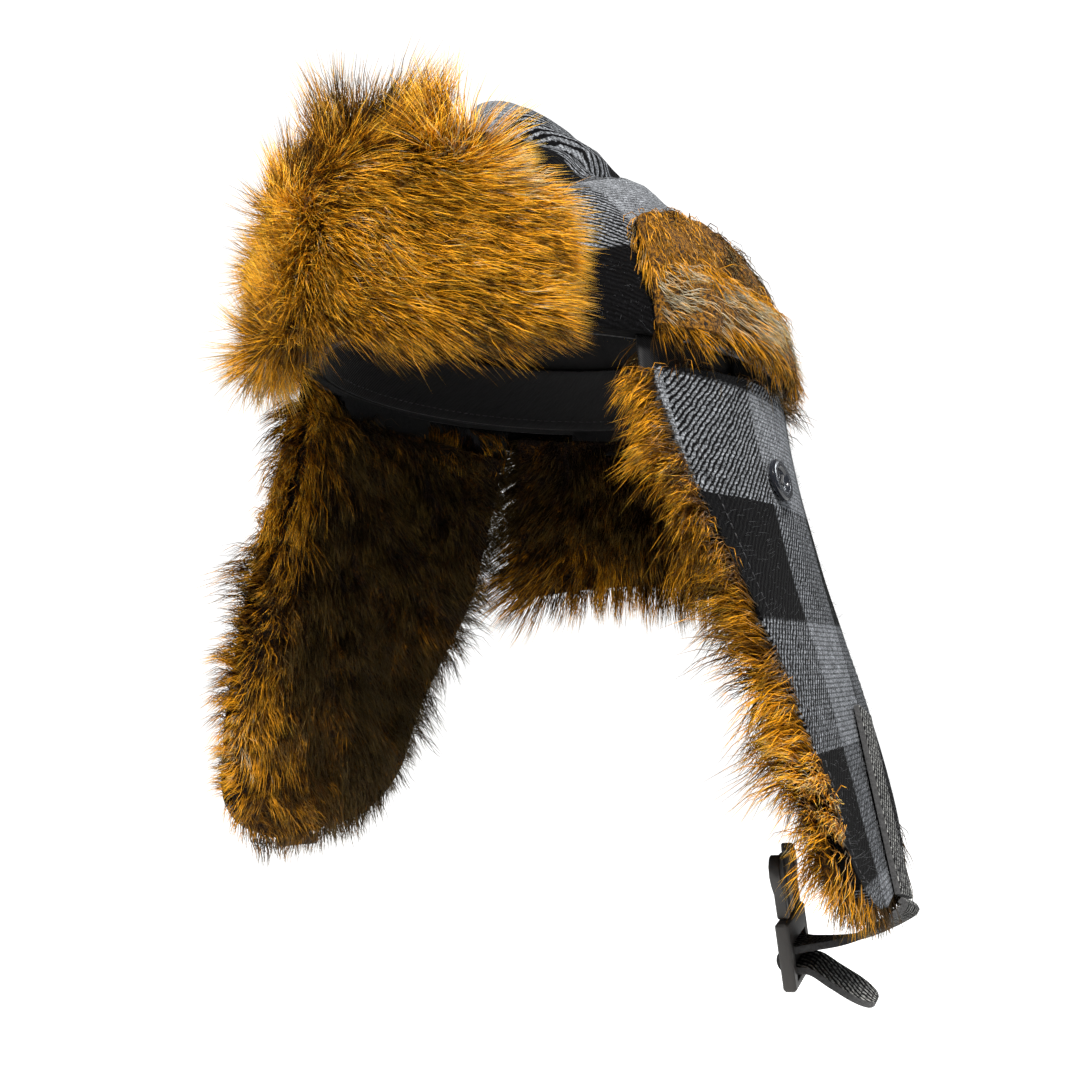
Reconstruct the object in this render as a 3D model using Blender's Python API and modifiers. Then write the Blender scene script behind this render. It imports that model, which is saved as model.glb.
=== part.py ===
"""Trapper hat: a wool crown with a fur visor folded up at the brow, a fur cuff round its sides and back,
two ear flaps and a neck flap lined with fur, and a chin strap with a side-release buckle.

Metres, +Z up. The origin is the centre of the head opening at the brow line. The wearer looks along -Y, so
the wearer's left is +X. Run with: blender --background --python part.py
"""

import math

import bmesh
import bpy
from mathutils import Matrix, Vector

MM = 0.001
GAP = 0.3 * MM  # left between touching pieces

# Crown. Its outer surface is a dome on an ellipse, for a 56 cm head inside the lining.
CROWN_HALF_WIDTH = 95 * MM
CROWN_HALF_LENGTH = 105 * MM
CROWN_HEIGHT = 126 * MM
CROWN_FULLNESS = 2.6  # how upright its lower side is
CROWN_SLUMP = 0.64  # how far its soft top has sunk in, as a share of its width
CROWN_SLOUCH = 26 * MM  # the soft top sags this far towards the wearer's right
CROWN_HEM_Z = 0.6 * MM
CENTER_PANEL_HALF = 38 * MM
SHELL = 2.0 * MM  # wool cloth
CROWN_WADDING = 4.0 * MM
LINING = 1.5 * MM
HEADBAND_THICK = 1.6 * MM
HEADBAND_HEIGHT = 28 * MM

# Ear flaps, measured down from the brow line along the cloth.
FLAP_LENGTH = 190 * MM
FLAP_SPLAY = {"left": math.radians(16), "right": math.radians(6.5)}  # how far each hangs out from the head
FLAP_FRONT_Y = -62 * MM
FLAP_BACK_Y = 75 * MM
FLAP_CORNER = 30 * MM
FLAP_FLARE = 1.9
FLAP_WADDING = 3.0 * MM
FLAP_PILE = 13.0 * MM
FLAP_HINGE_OUT = 10 * MM  # the fold line lies this far outside the crown's widest point
FLAP_INWARD = math.radians(12)  # how far a flap swings in towards the cheek

# Neck flap
NECK_HALF_WIDTH = 61 * MM
NECK_DROP = 70 * MM
NECK_SIDE_DROP = 78 * MM
NECK_FROM_Y = 75.9 * MM

# Visor, folded up in front of the crown
VISOR_HALF_ANGLE = math.radians(45)
VISOR_HEIGHT = 70 * MM
VISOR_END_HEIGHT = 20 * MM
VISOR_LEFT_DROP = 0.25  # the top edge falls away towards the wearer's left
VISOR_OFFSET = 3 * MM
VISOR_LEAN = 0.02
VISOR_STIFFENER = 1.5 * MM
VISOR_PILE = 12 * MM

# Fur cuff round the sides and back
CUFF_START_ANGLE = math.radians(36)
CUFF_FROM_Z = 2 * MM
CUFF_HEIGHT = 47 * MM
CUFF_BACKING = 1.2 * MM
CUFF_PILE = 6 * MM

# Straps and buckle
STRAP_WIDTH = 18 * MM
STRAP_THICK = 2.2 * MM
SEWN_FROM = 126 * MM  # how far down the flap the sewn end starts
SEWN_TO = 188 * MM
SEWN_TOP_Y = 20 * MM
SEWN_LOW_Y = 4 * MM
SWING_GAP = 1.5 * MM
TURN_RADIUS = 3.4 * MM
TAIL_LENGTH = 22 * MM
BUCKLE_WIDTH = 28 * MM
BUCKLE_SLOT = 19.6 * MM
BUCKLE_THICK = 4.4 * MM
BAR_HALF = 1.4 * MM
SLOT_REACH = 5.8 * MM  # from the bar's middle to the far side of a slot
FRAME_HALF = 8.4 * MM
SHOULDER_LENGTH = 5.0 * MM
PRONG_LENGTH = 21 * MM
FEMALE_THICK = 9.0 * MM
FEMALE_LENGTH = 24 * MM
SOCKET_HALF_WIDTH = 11.6 * MM
SOCKET_HALF_THICK = 3.1 * MM
LOOP_RADIUS = BAR_HALF + 0.7 * MM + STRAP_THICK / 2  # of a strap round its bar

# Buttons
BUTTON_RADIUS = 7.6 * MM
BUTTON_THICK = 2.6 * MM
BUTTON_DOWN = 44 * MM
BUTTON_Y = -12 * MM

SIGN = {"left": 1, "right": -1}  # the wearer's left is +X
COLORS = {
    "plaid_wool": (0.16, 0.16, 0.17),
    "golden_fur": (0.45, 0.24, 0.05),
    "quilted_lining": (0.02, 0.02, 0.02),
    "wadding": (0.75, 0.74, 0.70),
    "stiffener": (0.6, 0.58, 0.52),
    "buckle_plastic": (0.02, 0.018, 0.015),
    "button_plastic": (0.012, 0.014, 0.02),
    "thread": (0.015, 0.015, 0.02),
}
ROUGHNESS = {"buckle_plastic": 0.35, "button_plastic": 0.2, "quilted_lining": 0.5}


def clear_scene():
    for obj in list(bpy.data.objects):
        bpy.data.objects.remove(obj)


def make_collection(name):
    collection = bpy.data.collections.new(name)
    bpy.context.scene.collection.children.link(collection)
    return collection


def make_material(name):
    material = bpy.data.materials.new(name)
    material.use_nodes = True
    shader = material.node_tree.nodes["Principled BSDF"]
    shader.inputs["Base Color"].default_value = (*COLORS[name], 1)
    shader.inputs["Roughness"].default_value = ROUGHNESS.get(name, 0.9)
    shader.inputs["Metallic"].default_value = 0
    return material


def add_mesh(name, bm, material, collection=None):
    mesh = bpy.data.meshes.new(name)
    bm.to_mesh(mesh)
    bm.free()
    obj = bpy.data.objects.new(name, mesh)
    obj.data.materials.append(MATERIALS[material])
    (collection or HAT).objects.link(obj)
    return obj


def add_layer(obj, inner, outer):
    """Gives an open surface a wall from inner to outer, measured out along its normals."""
    solidify = obj.modifiers.new("wall", "SOLIDIFY")
    solidify.thickness = outer - inner
    solidify.offset = 2 * outer / (outer - inner) - 1
    solidify.use_even_offset = True
    return obj


def add_boolean(obj, cutter, operation):
    boolean = obj.modifiers.new(operation.lower(), "BOOLEAN")
    boolean.operation = operation
    boolean.object = cutter
    boolean.solver = "EXACT"


def hide_cutter(obj):
    obj.hide_render = True
    obj.display_type = "WIRE"
    return obj


def smooth_step(value):
    value = max(0.0, min(1.0, value))
    return value * value * (3 - 2 * value)


def cloth_surface(point_at, columns, rows, outward):
    """A grid laid over point_at(s, t), both from 0 to 1, with its normals along outward."""
    bm = bmesh.new()
    bmesh.ops.create_grid(bm, x_segments=columns, y_segments=rows, size=0.5)
    for vert in bm.verts:
        vert.co = point_at(vert.co.x + 0.5, vert.co.y + 0.5)
    bm.normal_update()
    if sum(face.normal.dot(outward(face.calc_center_median())) for face in bm.faces) < 0:
        bmesh.ops.reverse_faces(bm, faces=bm.faces)
    return bm


def away_from_axis(point):
    return Vector((point.x, point.y, 0))


# --- crown -------------------------------------------------------------------------------------------


def crown_share(rise):
    """The crown's width at a share of its height, as a share of its width at the hem."""
    rise = max(0.0, min(1.0, rise))
    return math.sqrt(1 - rise ** CROWN_FULLNESS) * (1 - CROWN_SLUMP * rise ** 1.6)


def crown_point(angle, rise, depth=0):
    """The crown's outer surface, or a place this deep inside it, at a share of the crown's height."""
    share = crown_share(rise)
    return Vector(
        (
            (CROWN_HALF_WIDTH * share - depth) * math.cos(angle) - CROWN_SLOUCH * rise ** 1.5,
            (CROWN_HALF_LENGTH * share - depth) * math.sin(angle),
            CROWN_HEM_Z + CROWN_HEIGHT * rise,
        )
    )


def dome_surface():
    bm = bmesh.new()
    bmesh.ops.create_uvsphere(bm, u_segments=28, v_segments=16, radius=1)
    bmesh.ops.delete(bm, geom=[vert for vert in bm.verts if vert.co.z < -0.001], context="VERTS")
    for vert in bm.verts:
        vert.co = crown_point(math.atan2(vert.co.y, vert.co.x), max(vert.co.z, 0))
    bm.normal_update()
    return bm


def keep_side(bm, plane_x, sign):
    """Cuts the surface at a plane across X and keeps the part on the sign side."""
    geometry = bm.verts[:] + bm.edges[:] + bm.faces[:]
    bmesh.ops.bisect_plane(bm, geom=geometry, plane_co=(plane_x, 0, 0), plane_no=(sign, 0, 0), clear_inner=True)


def make_crown():
    for side, name in ((1, "crown_left_panel"), (-1, "crown_right_panel")):
        bm = dome_surface()
        keep_side(bm, side * (CENTER_PANEL_HALF + GAP), side)
        add_layer(add_mesh(name, bm, "plaid_wool"), -SHELL, 0)
    bm = dome_surface()
    keep_side(bm, CENTER_PANEL_HALF - GAP, -1)
    keep_side(bm, -CENTER_PANEL_HALF + GAP, 1)
    add_layer(add_mesh("crown_center_panel", bm, "plaid_wool"), -SHELL, 0)

    outer = -SHELL - GAP
    add_layer(add_mesh("crown_wadding", dome_surface(), "wadding"), outer - CROWN_WADDING, outer)
    outer -= CROWN_WADDING + GAP
    add_layer(add_mesh("crown_lining", dome_surface(), "quilted_lining"), outer - LINING, outer)

    depth = -(outer - LINING - 2.2 * MM)  # clear of the lining where the crown leans in

    def band_point(s, t):
        return crown_point(2 * math.pi * s, (1.4 * MM + HEADBAND_HEIGHT * t) / CROWN_HEIGHT, depth)

    bm = cloth_surface(band_point, 29, 3, away_from_axis)
    bmesh.ops.remove_doubles(bm, verts=bm.verts, dist=0.1 * MM)
    add_layer(add_mesh("headband", bm, "quilted_lining"), -HEADBAND_THICK - GAP, -GAP)


# --- cuff --------------------------------------------------------------------------------------------


def cuff_point(s, t):
    """Round the crown from behind one end of the visor, over the back, to behind the other."""
    angle = -CUFF_START_ANGLE + (math.pi + 2 * CUFF_START_ANGLE) * s
    end = min(s, 1 - s) * 12
    height = CUFF_HEIGHT - 14 * MM * (1 - math.sqrt(1 - (1 - min(end, 1)) ** 2))
    return crown_point(angle, (CUFF_FROM_Z + height * t) / CROWN_HEIGHT)


def make_cuff():
    clear = 1.5 * MM
    for name, material, inner, outer in (
        ("cuff_backing", "plaid_wool", clear, clear + CUFF_BACKING),
        ("cuff_fur", "golden_fur", clear + CUFF_BACKING + GAP, clear + CUFF_BACKING + GAP + CUFF_PILE),
    ):
        bm = cloth_surface(cuff_point, 33, 4, away_from_axis)
        add_layer(add_mesh(name, bm, material), inner, outer)


# --- visor -------------------------------------------------------------------------------------------


def visor_point(s, t):
    angle = VISOR_HALF_ANGLE * (2 * s - 1)
    height = VISOR_END_HEIGHT + (VISOR_HEIGHT - VISOR_END_HEIGHT) * (1 - abs(2 * s - 1) ** 2.2) ** 0.8
    height *= 1 - VISOR_LEFT_DROP * smooth_step((s - 0.6) / 0.3)
    z = -2 * MM + height * t
    out = VISOR_OFFSET + VISOR_LEAN * max(z, 0)
    return Vector(
        ((CROWN_HALF_WIDTH + out) * math.sin(angle), -(CROWN_HALF_LENGTH + out) * math.cos(angle), z)
    )


def make_visor():
    outer = 0.0
    for name, material, thick in (
        ("visor_facing", "plaid_wool", SHELL),
        ("visor_stiffener", "stiffener", VISOR_STIFFENER),
        ("visor_fur", "golden_fur", VISOR_PILE),
    ):
        bm = cloth_surface(visor_point, 17, 7, away_from_axis)
        add_layer(add_mesh(name, bm, material), outer, outer + thick)
        outer += thick + GAP


# --- ear flaps and neck flap -------------------------------------------------------------------------


def flap_length_at(s):
    """How far down the flap's edge lies, with round lower corners and the front corner a little lower."""
    width = 88 * MM
    in_from_end = width * min(s, 1 - s)
    short = max(0.0, 1 - in_from_end / FLAP_CORNER)
    slope = 10 * MM * s
    return FLAP_LENGTH - slope - FLAP_CORNER * (1 - math.sqrt(1 - short * short))


def flap_x(splay_angle, y, down):
    """The flap's outer surface: the crown's curve at the top, flatter and splayed out lower down."""
    round_x = CROWN_HALF_WIDTH * math.sqrt(1 - (y / CROWN_HALF_LENGTH) ** 2)
    flare = FLAP_FLARE * max(0, 20 * MM - y) ** 2  # the front edge curls out
    flat_x = CROWN_HALF_WIDTH - 1.2 * y * y + flare
    flatness = 0.85 * smooth_step(down / (150 * MM))
    splay = math.tan(splay_angle) * down * down / (down + 30 * MM)
    return round_x + (flat_x - round_x) * flatness + splay


def flap_point_at(side, y, down):
    angle = FLAP_SPLAY[side]
    return Vector((SIGN[side] * flap_x(angle, y, down), y, -down * math.cos(angle)))


def flap_top(y):
    """The flap starts this far below the brow line, so that it clears the crown's hem as it swings in."""
    inner_x = flap_x(0, y, 0) - SHELL - FLAP_WADDING - FLAP_PILE
    return 1.2 * MM + math.sin(FLAP_INWARD) * (CROWN_HALF_WIDTH + FLAP_HINGE_OUT - inner_x)


def flap_point(side, s, t):
    down = flap_length_at(s) * t
    front = FLAP_FRONT_Y + 15 * MM * (down / FLAP_LENGTH) ** 1.3
    back = FLAP_BACK_Y - 22 * MM * smooth_step((down - 66 * MM) / (90 * MM))
    y = front + (back - front) * s
    top = flap_top(y)
    return flap_point_at(side, y, top + (flap_length_at(s) - top) * t)


def make_ear_flap(side):
    outward = Vector((SIGN[side], 0, 0))
    outer = 0.0
    for piece, material, thick in (
        ("shell", "plaid_wool", SHELL),
        ("wadding", "wadding", FLAP_WADDING),
        ("fur", "golden_fur", FLAP_PILE),
    ):
        bm = cloth_surface(lambda s, t: flap_point(side, s, t), 12, 11, lambda point: outward)
        add_layer(add_mesh(f"{side}_flap_{piece}", bm, material), outer - thick, outer)
        outer -= thick + GAP


def neck_point(s, t):
    x = NECK_HALF_WIDTH * (2 * s - 1)
    y = CROWN_HALF_LENGTH * math.sqrt(1 - (x / CROWN_HALF_WIDTH) ** 2)
    drop = NECK_DROP + (NECK_SIDE_DROP - NECK_DROP) * (2 * s - 1) ** 2
    z = -2 * MM - drop * t
    return Vector((x, y + 0.10 * -z, z))


def make_neck_flap():
    bm = bmesh.new()
    bmesh.ops.create_cube(bm, size=0.2)
    bmesh.ops.translate(bm, vec=(0, 0.1 + NECK_FROM_Y, 0), verts=bm.verts)
    behind = hide_cutter(add_mesh("behind_the_ear_flaps", bm, "wadding", CUTTERS))
    outer = 0.0
    for piece, material, thick in (
        ("shell", "plaid_wool", SHELL),
        ("wadding", "wadding", FLAP_WADDING),
        ("fur", "golden_fur", FLAP_PILE),
    ):
        bm = cloth_surface(neck_point, 13, 6, away_from_axis)
        flap = add_layer(add_mesh(f"neck_flap_{piece}", bm, material), outer - thick, outer)
        add_boolean(flap, behind, "INTERSECT")
        outer -= thick + GAP


# --- buttons -----------------------------------------------------------------------------------------


def flap_frame(side, y, down, out):
    """A frame on the flap's outer face: X along the wearer's back, Y up the cloth, Z out of the cloth."""
    here = flap_point_at(side, y, down)
    up = (flap_point_at(side, y, down - 2 * MM) - flap_point_at(side, y, down + 2 * MM)).normalized()
    along = (flap_point_at(side, y + 2 * MM, down) - flap_point_at(side, y - 2 * MM, down)).normalized()
    normal = along.cross(up).normalized() * SIGN[side]
    across = up.cross(normal)
    return Matrix.Translation(here + normal * out) @ Matrix((across, up, normal)).transposed().to_4x4()


def make_button(side):
    profile = bmesh.new()
    rim, dish, floor = BUTTON_RADIUS, 4.4 * MM, 1.4 * MM
    outline = [
        (0, 0),
        (rim - 0.8 * MM, 0),
        (rim, 0.8 * MM),
        (rim, BUTTON_THICK - 0.7 * MM),
        (rim - 0.7 * MM, BUTTON_THICK),
        (dish + 0.5 * MM, BUTTON_THICK),
        (dish, floor + 0.3 * MM),
        (dish - 0.6 * MM, floor),
        (0, floor),
    ]
    verts = [profile.verts.new((x, 0, z)) for x, z in outline]
    for low, high in zip(verts, verts[1:]):
        profile.edges.new((low, high))
    bmesh.ops.spin(
        profile,
        geom=profile.verts[:] + profile.edges[:],
        axis=(0, 0, 1),
        cent=(0, 0, 0),
        steps=24,
        angle=2 * math.pi,
        use_merge=True,
    )
    bmesh.ops.remove_doubles(profile, verts=profile.verts, dist=0.01 * MM)
    bmesh.ops.recalc_face_normals(profile, faces=profile.faces)
    frame = flap_frame(side, BUTTON_Y, BUTTON_DOWN, 0.9 * MM)
    button = add_mesh(f"{side}_button", profile, "button_plastic")
    button.matrix_world = frame

    hole_spacing, hole_radius = 1.5 * MM, 0.75 * MM
    holes = bmesh.new()
    for x in (-hole_spacing, hole_spacing):
        for y in (-hole_spacing, hole_spacing):
            made = bmesh.ops.create_cone(
                holes, cap_ends=True, segments=8, radius1=hole_radius, radius2=hole_radius, depth=10 * MM
            )
            bmesh.ops.translate(holes, vec=(x, y, 0), verts=made["verts"])
    cutter = hide_cutter(add_mesh(f"{side}_button_holes", holes, "thread", CUTTERS))
    cutter.matrix_world = frame
    add_boolean(button, cutter, "DIFFERENCE")

    # One loop of thread: through two holes on a diagonal, over the dish and under the button.
    loop = bmesh.new()
    half, low, high, thread = 1.5 * MM * math.sqrt(2), -0.45 * MM, 1.9 * MM, 0.35 * MM
    bmesh.ops.create_cube(loop, size=1)
    for vert in loop.verts:
        vert.co = Vector(
            (
                vert.co.x * 2 * (half + thread),
                vert.co.y * 2 * thread,
                (low + high) / 2 + vert.co.z * (high - low + 2 * thread),
            )
        )
    window = bmesh.new()
    bmesh.ops.create_cube(window, size=1)
    for vert in window.verts:
        vert.co = Vector(
            (
                vert.co.x * 2 * (half - thread),
                vert.co.y * 4 * thread,
                (low + high) / 2 + vert.co.z * (high - low - 2 * thread),
            )
        )
    diagonal = frame @ Matrix.Rotation(math.radians(45), 4, "Z")
    thread_loop = add_mesh(f"{side}_button_thread", loop, "thread")
    thread_loop.matrix_world = diagonal
    hole = hide_cutter(add_mesh(f"{side}_thread_window", window, "thread", CUTTERS))
    hole.matrix_world = diagonal
    add_boolean(thread_loop, hole, "DIFFERENCE")


# --- straps and buckle -------------------------------------------------------------------------------


def ribbon(name, path, start_across, end_across):
    """A flat strap swept along path, its width turning from one direction to the other over a few points."""
    bm = bmesh.new()
    rows = []
    for index, point in enumerate(path):
        ahead = path[min(index + 1, len(path) - 1)] - path[max(index - 1, 0)]
        across = start_across.lerp(end_across, min(max(index - 1, 0) / 3, 1)).normalized()
        normal = ahead.cross(across).normalized()
        side = across * STRAP_WIDTH / 2
        corners = (side + normal * STRAP_THICK / 2, -side + normal * STRAP_THICK / 2)
        corners += (-side - normal * STRAP_THICK / 2, side - normal * STRAP_THICK / 2)
        rows.append([bm.verts.new(point + corner) for corner in corners])
    for low, high in zip(rows, rows[1:]):
        for k in range(4):
            bm.faces.new((low[k], low[(k + 1) % 4], high[(k + 1) % 4], high[k]))
    bm.faces.new(rows[0][::-1])
    bm.faces.new(rows[-1])
    bmesh.ops.recalc_face_normals(bm, faces=bm.faces)
    return add_mesh(name, bm, "plaid_wool")


def sewn_path(side):
    """The sewn end of a strap, lying on the flap's outer face."""
    steps = 7
    path = []
    for step in range(steps):
        share = step / (steps - 1)
        down = SEWN_FROM + (SEWN_TO - SEWN_FROM) * share
        y = SEWN_TOP_Y + (SEWN_LOW_Y - SEWN_TOP_Y) * share
        path.append(flap_frame(side, y, down, STRAP_OUT).translation)
    return path


def box_between(low, high):
    bm = bmesh.new()
    bmesh.ops.create_cube(bm, size=1)
    low, high = Vector(low), Vector(high)
    for vert in bm.verts:
        vert.co = Vector([(low[k] + high[k]) / 2 + vert.co[k] * (high[k] - low[k]) for k in range(3)])
    return bm


def add_bevel(obj, width, segments=1):
    bevel = obj.modifiers.new("bevel", "BEVEL")
    bevel.width = width
    bevel.segments = segments
    bevel.limit_method = "ANGLE"


def cut_box(body, name, low, high, frame):
    cutter = add_mesh(name, box_between(low, high), "buckle_plastic", CUTTERS)
    hide_cutter(cutter).matrix_world = frame
    add_boolean(body, cutter, "DIFFERENCE")


def make_male_buckle(frame):
    """Local X is across the strap, Y is towards the prongs and Z is out of the front face."""
    half_width, half_thick = BUCKLE_WIDTH / 2, BUCKLE_THICK / 2
    shoulder = FRAME_HALF + SHOULDER_LENGTH
    body = add_mesh(
        "male_buckle_frame",
        box_between((-half_width, -FRAME_HALF, -half_thick), (half_width, shoulder, half_thick)),
        "buckle_plastic",
    )
    body.matrix_world = frame
    add_bevel(body, 0.8 * MM)
    side = BUCKLE_SLOT / 2
    cut_box(body, "male_upper_slot", (-side, BAR_HALF, -9 * MM), (side, SLOT_REACH, 9 * MM), frame)
    cut_box(body, "male_lower_slot", (-side, -SLOT_REACH, -9 * MM), (side, -BAR_HALF, 9 * MM), frame)
    cut_box(body, "male_bar_front", (-side, -2 * MM, BAR_HALF), (side, 2 * MM, 9 * MM), frame)
    cut_box(body, "male_bar_back", (-side, -2 * MM, -9 * MM), (side, 2 * MM, -BAR_HALF), frame)
    tongue = add_mesh(
        "male_buckle_tongue",
        box_between(
            (-3.4 * MM, shoulder + GAP, -1.4 * MM), (3.4 * MM, shoulder + PRONG_LENGTH - 2 * MM, 1.4 * MM)
        ),
        "buckle_plastic",
    )
    tongue.matrix_world = frame
    add_bevel(tongue, 0.5 * MM)
    for name, sign in (("buckle_prong_a", 1), ("buckle_prong_b", -1)):
        outline = [  # the arm, and the round head that snaps into the socket's window
            (7.2, 0.3),
            (10.2, 0.3),
            (10.4, 8.0),
            (12.6, 11.5),
            (13.4, 14.5),
            (12.8, 18.0),
            (10.6, 20.4),
            (8.2, 21.0),
            (7.4, 18.5),
            (8.0, 14.0),
            (8.0, 8.0),
        ]
        bm = bmesh.new()
        verts = [bm.verts.new((sign * x * MM, shoulder + y * MM, -1.9 * MM)) for x, y in outline]
        face = bm.faces.new(verts)
        grown = bmesh.ops.extrude_face_region(bm, geom=[face])
        raised = [item for item in grown["geom"] if isinstance(item, bmesh.types.BMVert)]
        bmesh.ops.translate(bm, vec=(0, 0, 3.8 * MM), verts=raised)
        bmesh.ops.recalc_face_normals(bm, faces=bm.faces)
        prong = add_mesh(name, bm, "buckle_plastic")
        prong.matrix_world = frame
        add_bevel(prong, 0.5 * MM)


def make_female_buckle(frame):
    """Local X is across the strap, Y runs from the strap's bar to the mouth and Z is out of the front face."""
    half_width, half_thick = BUCKLE_WIDTH / 2, FEMALE_THICK / 2
    start = -BAR_HALF
    neck = 6.2 * MM
    body = add_mesh(
        "female_buckle",
        box_between((-half_width, start, -half_thick), (half_width, neck + FEMALE_LENGTH, half_thick)),
        "buckle_plastic",
    )
    body.matrix_world = frame
    add_bevel(body, 1.2 * MM)
    side = BUCKLE_SLOT / 2
    cut_box(body, "female_slot", (-side, BAR_HALF, -20 * MM), (side, neck - 0.6 * MM, 20 * MM), frame)
    cut_box(body, "female_bar_front", (-side, -9 * MM, BAR_HALF), (side, 3 * MM, 9 * MM), frame)
    cut_box(body, "female_bar_back", (-side, -9 * MM, -9 * MM), (side, 3 * MM, -BAR_HALF), frame)
    wide, thick = SOCKET_HALF_WIDTH, SOCKET_HALF_THICK
    cut_box(body, "female_socket", (-wide, neck + 2 * MM, -thick), (wide, 60 * MM, thick), frame)
    low, high = neck + 5 * MM, neck + 15 * MM  # of the side windows that the prongs show in
    cut_box(body, "female_windows", (-30 * MM, low, -2.2 * MM), (30 * MM, high, 2.2 * MM), frame)


def frame_of(origin, across, along):
    """Local X along across, local Y along along (squared to X), local Z out of the front."""
    across = Vector(across).normalized()
    along = Vector(along)
    along = (along - across * along.dot(across)).normalized()
    front = across.cross(along)
    return Matrix.Translation(Vector(origin)) @ Matrix((across, along, front)).transposed().to_4x4()


def loop_round_bar(frame, radius, start_deg, end_deg, steps=8):
    """Points of an arc about the buckle's bar, in its local YZ plane; 0 degrees is towards the prongs."""
    return [
        frame
        @ Vector(
            (
                0,
                radius * math.cos(math.radians(start_deg + (end_deg - start_deg) * k / steps)),
                radius * math.sin(math.radians(start_deg + (end_deg - start_deg) * k / steps)),
            )
        )
        for k in range(steps + 1)
    ]


def make_left_strap():
    """The sewn end, the free length in under the flap to the male buckle, and the tail that comes back out."""
    ribbon("left_strap_sewn", sewn_path("left"), SEWN_ACROSS, SEWN_ACROSS)
    arrive = MALE_FRAME @ Vector((0, LOOP_RADIUS, -6 * MM))
    leave = MALE_FRAME @ Vector((0, -LOOP_RADIUS, -6 * MM))
    straight = LEFT_STRAP_FRAME @ Vector((0, -3 * MM, 0))
    path = [LEFT_STRAP_FRAME.translation, straight, straight.lerp(arrive, 0.5) + Vector((0, 0, -3 * MM)), arrive]
    path += loop_round_bar(MALE_FRAME, LOOP_RADIUS, 0, 180) + [leave]
    tail_along = MALE_FRAME.to_3x3() @ Vector((0, -0.55, -0.83))
    path += [leave + tail_along * step * TAIL_LENGTH / 3 for step in (1, 2, 3)]
    ribbon("left_strap_free", path, SEWN_ACROSS, -MALE_FRAME.col[0].xyz)
    make_male_buckle(MALE_FRAME)


def make_right_strap():
    """The sewn end, and the free length turned back up the outside of the flap to the female buckle."""
    ribbon("right_strap_sewn", sewn_path("right"), SEWN_ACROSS, SEWN_ACROSS)
    path = [RIGHT_STRAP_FRAME.translation]
    for step in range(7):
        turn = math.pi * step / 6
        back = TURN_RADIUS * Vector((0, -math.sin(turn), 1 - math.cos(turn)))
        path.append(RIGHT_STRAP_FRAME @ (Vector((0, -2 * MM, 0)) + back))
    path.append(FEMALE_FRAME @ Vector((0, -10 * MM, 1.6 * MM)))
    path += loop_round_bar(FEMALE_FRAME, LOOP_RADIUS, 100, -110)
    path.append(FEMALE_FRAME @ Vector((0, -5 * MM, -2.2 * MM)))
    ribbon("right_strap_free", path, SEWN_ACROSS, -FEMALE_FRAME.col[0].xyz)
    make_female_buckle(FEMALE_FRAME)


# Each free length starts a little below its sewn end, which leaves room to swing about that line. The left
# one turns in under the flap, to a buckle that stands prongs up beside the flap's fur.
STRAP_OUT = STRAP_THICK / 2 + 0.7 * MM
SEWN_ACROSS = Vector((0, SEWN_TO - SEWN_FROM, SEWN_LOW_Y - SEWN_TOP_Y)).normalized()
LEFT_STRAP_FRAME = flap_frame("left", SEWN_LOW_Y, SEWN_TO + SWING_GAP, STRAP_OUT)
MALE_FRAME = frame_of(Vector((112, -12, -200)) * MM, (0.10, -0.98, -0.08), (-0.14, 0, 1))
# The right one is folded up flat outside the flap.
RIGHT_STRAP_FRAME = flap_frame("right", SEWN_LOW_Y, SEWN_TO + SWING_GAP, STRAP_OUT)
FEMALE_FRAME = flap_frame("right", 10 * MM, SEWN_TO - 48 * MM, 10 * MM)

clear_scene()
HAT = make_collection("trapper_hat")
CUTTERS = make_collection("cutters")
MATERIALS = {name: make_material(name) for name in COLORS}
make_crown()
make_cuff()
make_visor()
for SIDE in SIGN:
    make_ear_flap(SIDE)
    make_button(SIDE)
make_neck_flap()
make_left_strap()
make_right_strap()
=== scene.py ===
import math

import bmesh
import bpy
import numpy as np
from mathutils import Matrix, Vector, kdtree, noise
from mathutils.bvhtree import BVHTree


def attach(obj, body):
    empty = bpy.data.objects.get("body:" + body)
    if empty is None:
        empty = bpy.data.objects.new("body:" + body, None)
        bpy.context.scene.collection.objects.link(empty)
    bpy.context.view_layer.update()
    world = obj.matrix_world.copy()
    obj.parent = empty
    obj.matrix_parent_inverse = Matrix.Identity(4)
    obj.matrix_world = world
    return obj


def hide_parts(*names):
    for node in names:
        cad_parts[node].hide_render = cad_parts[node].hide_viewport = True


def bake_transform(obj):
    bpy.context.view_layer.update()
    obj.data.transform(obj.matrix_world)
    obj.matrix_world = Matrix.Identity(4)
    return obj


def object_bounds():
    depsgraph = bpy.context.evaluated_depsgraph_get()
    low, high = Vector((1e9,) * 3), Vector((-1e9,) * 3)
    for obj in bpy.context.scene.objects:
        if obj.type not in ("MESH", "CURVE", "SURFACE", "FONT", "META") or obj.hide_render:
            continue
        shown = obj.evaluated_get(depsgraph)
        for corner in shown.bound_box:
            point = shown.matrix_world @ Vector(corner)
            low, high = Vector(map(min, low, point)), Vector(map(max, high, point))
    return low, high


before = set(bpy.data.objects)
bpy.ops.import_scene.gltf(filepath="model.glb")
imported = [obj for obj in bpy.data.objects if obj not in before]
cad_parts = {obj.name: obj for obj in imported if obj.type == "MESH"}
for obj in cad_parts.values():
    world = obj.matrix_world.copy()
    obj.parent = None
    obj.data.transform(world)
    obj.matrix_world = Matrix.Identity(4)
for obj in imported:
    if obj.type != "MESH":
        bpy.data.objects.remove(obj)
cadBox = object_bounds()
mm = 0.001
up = np.array((0.0, 0.0, 1.0))
noise.seed_set(11)  # so that every run grows the same locks


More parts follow.
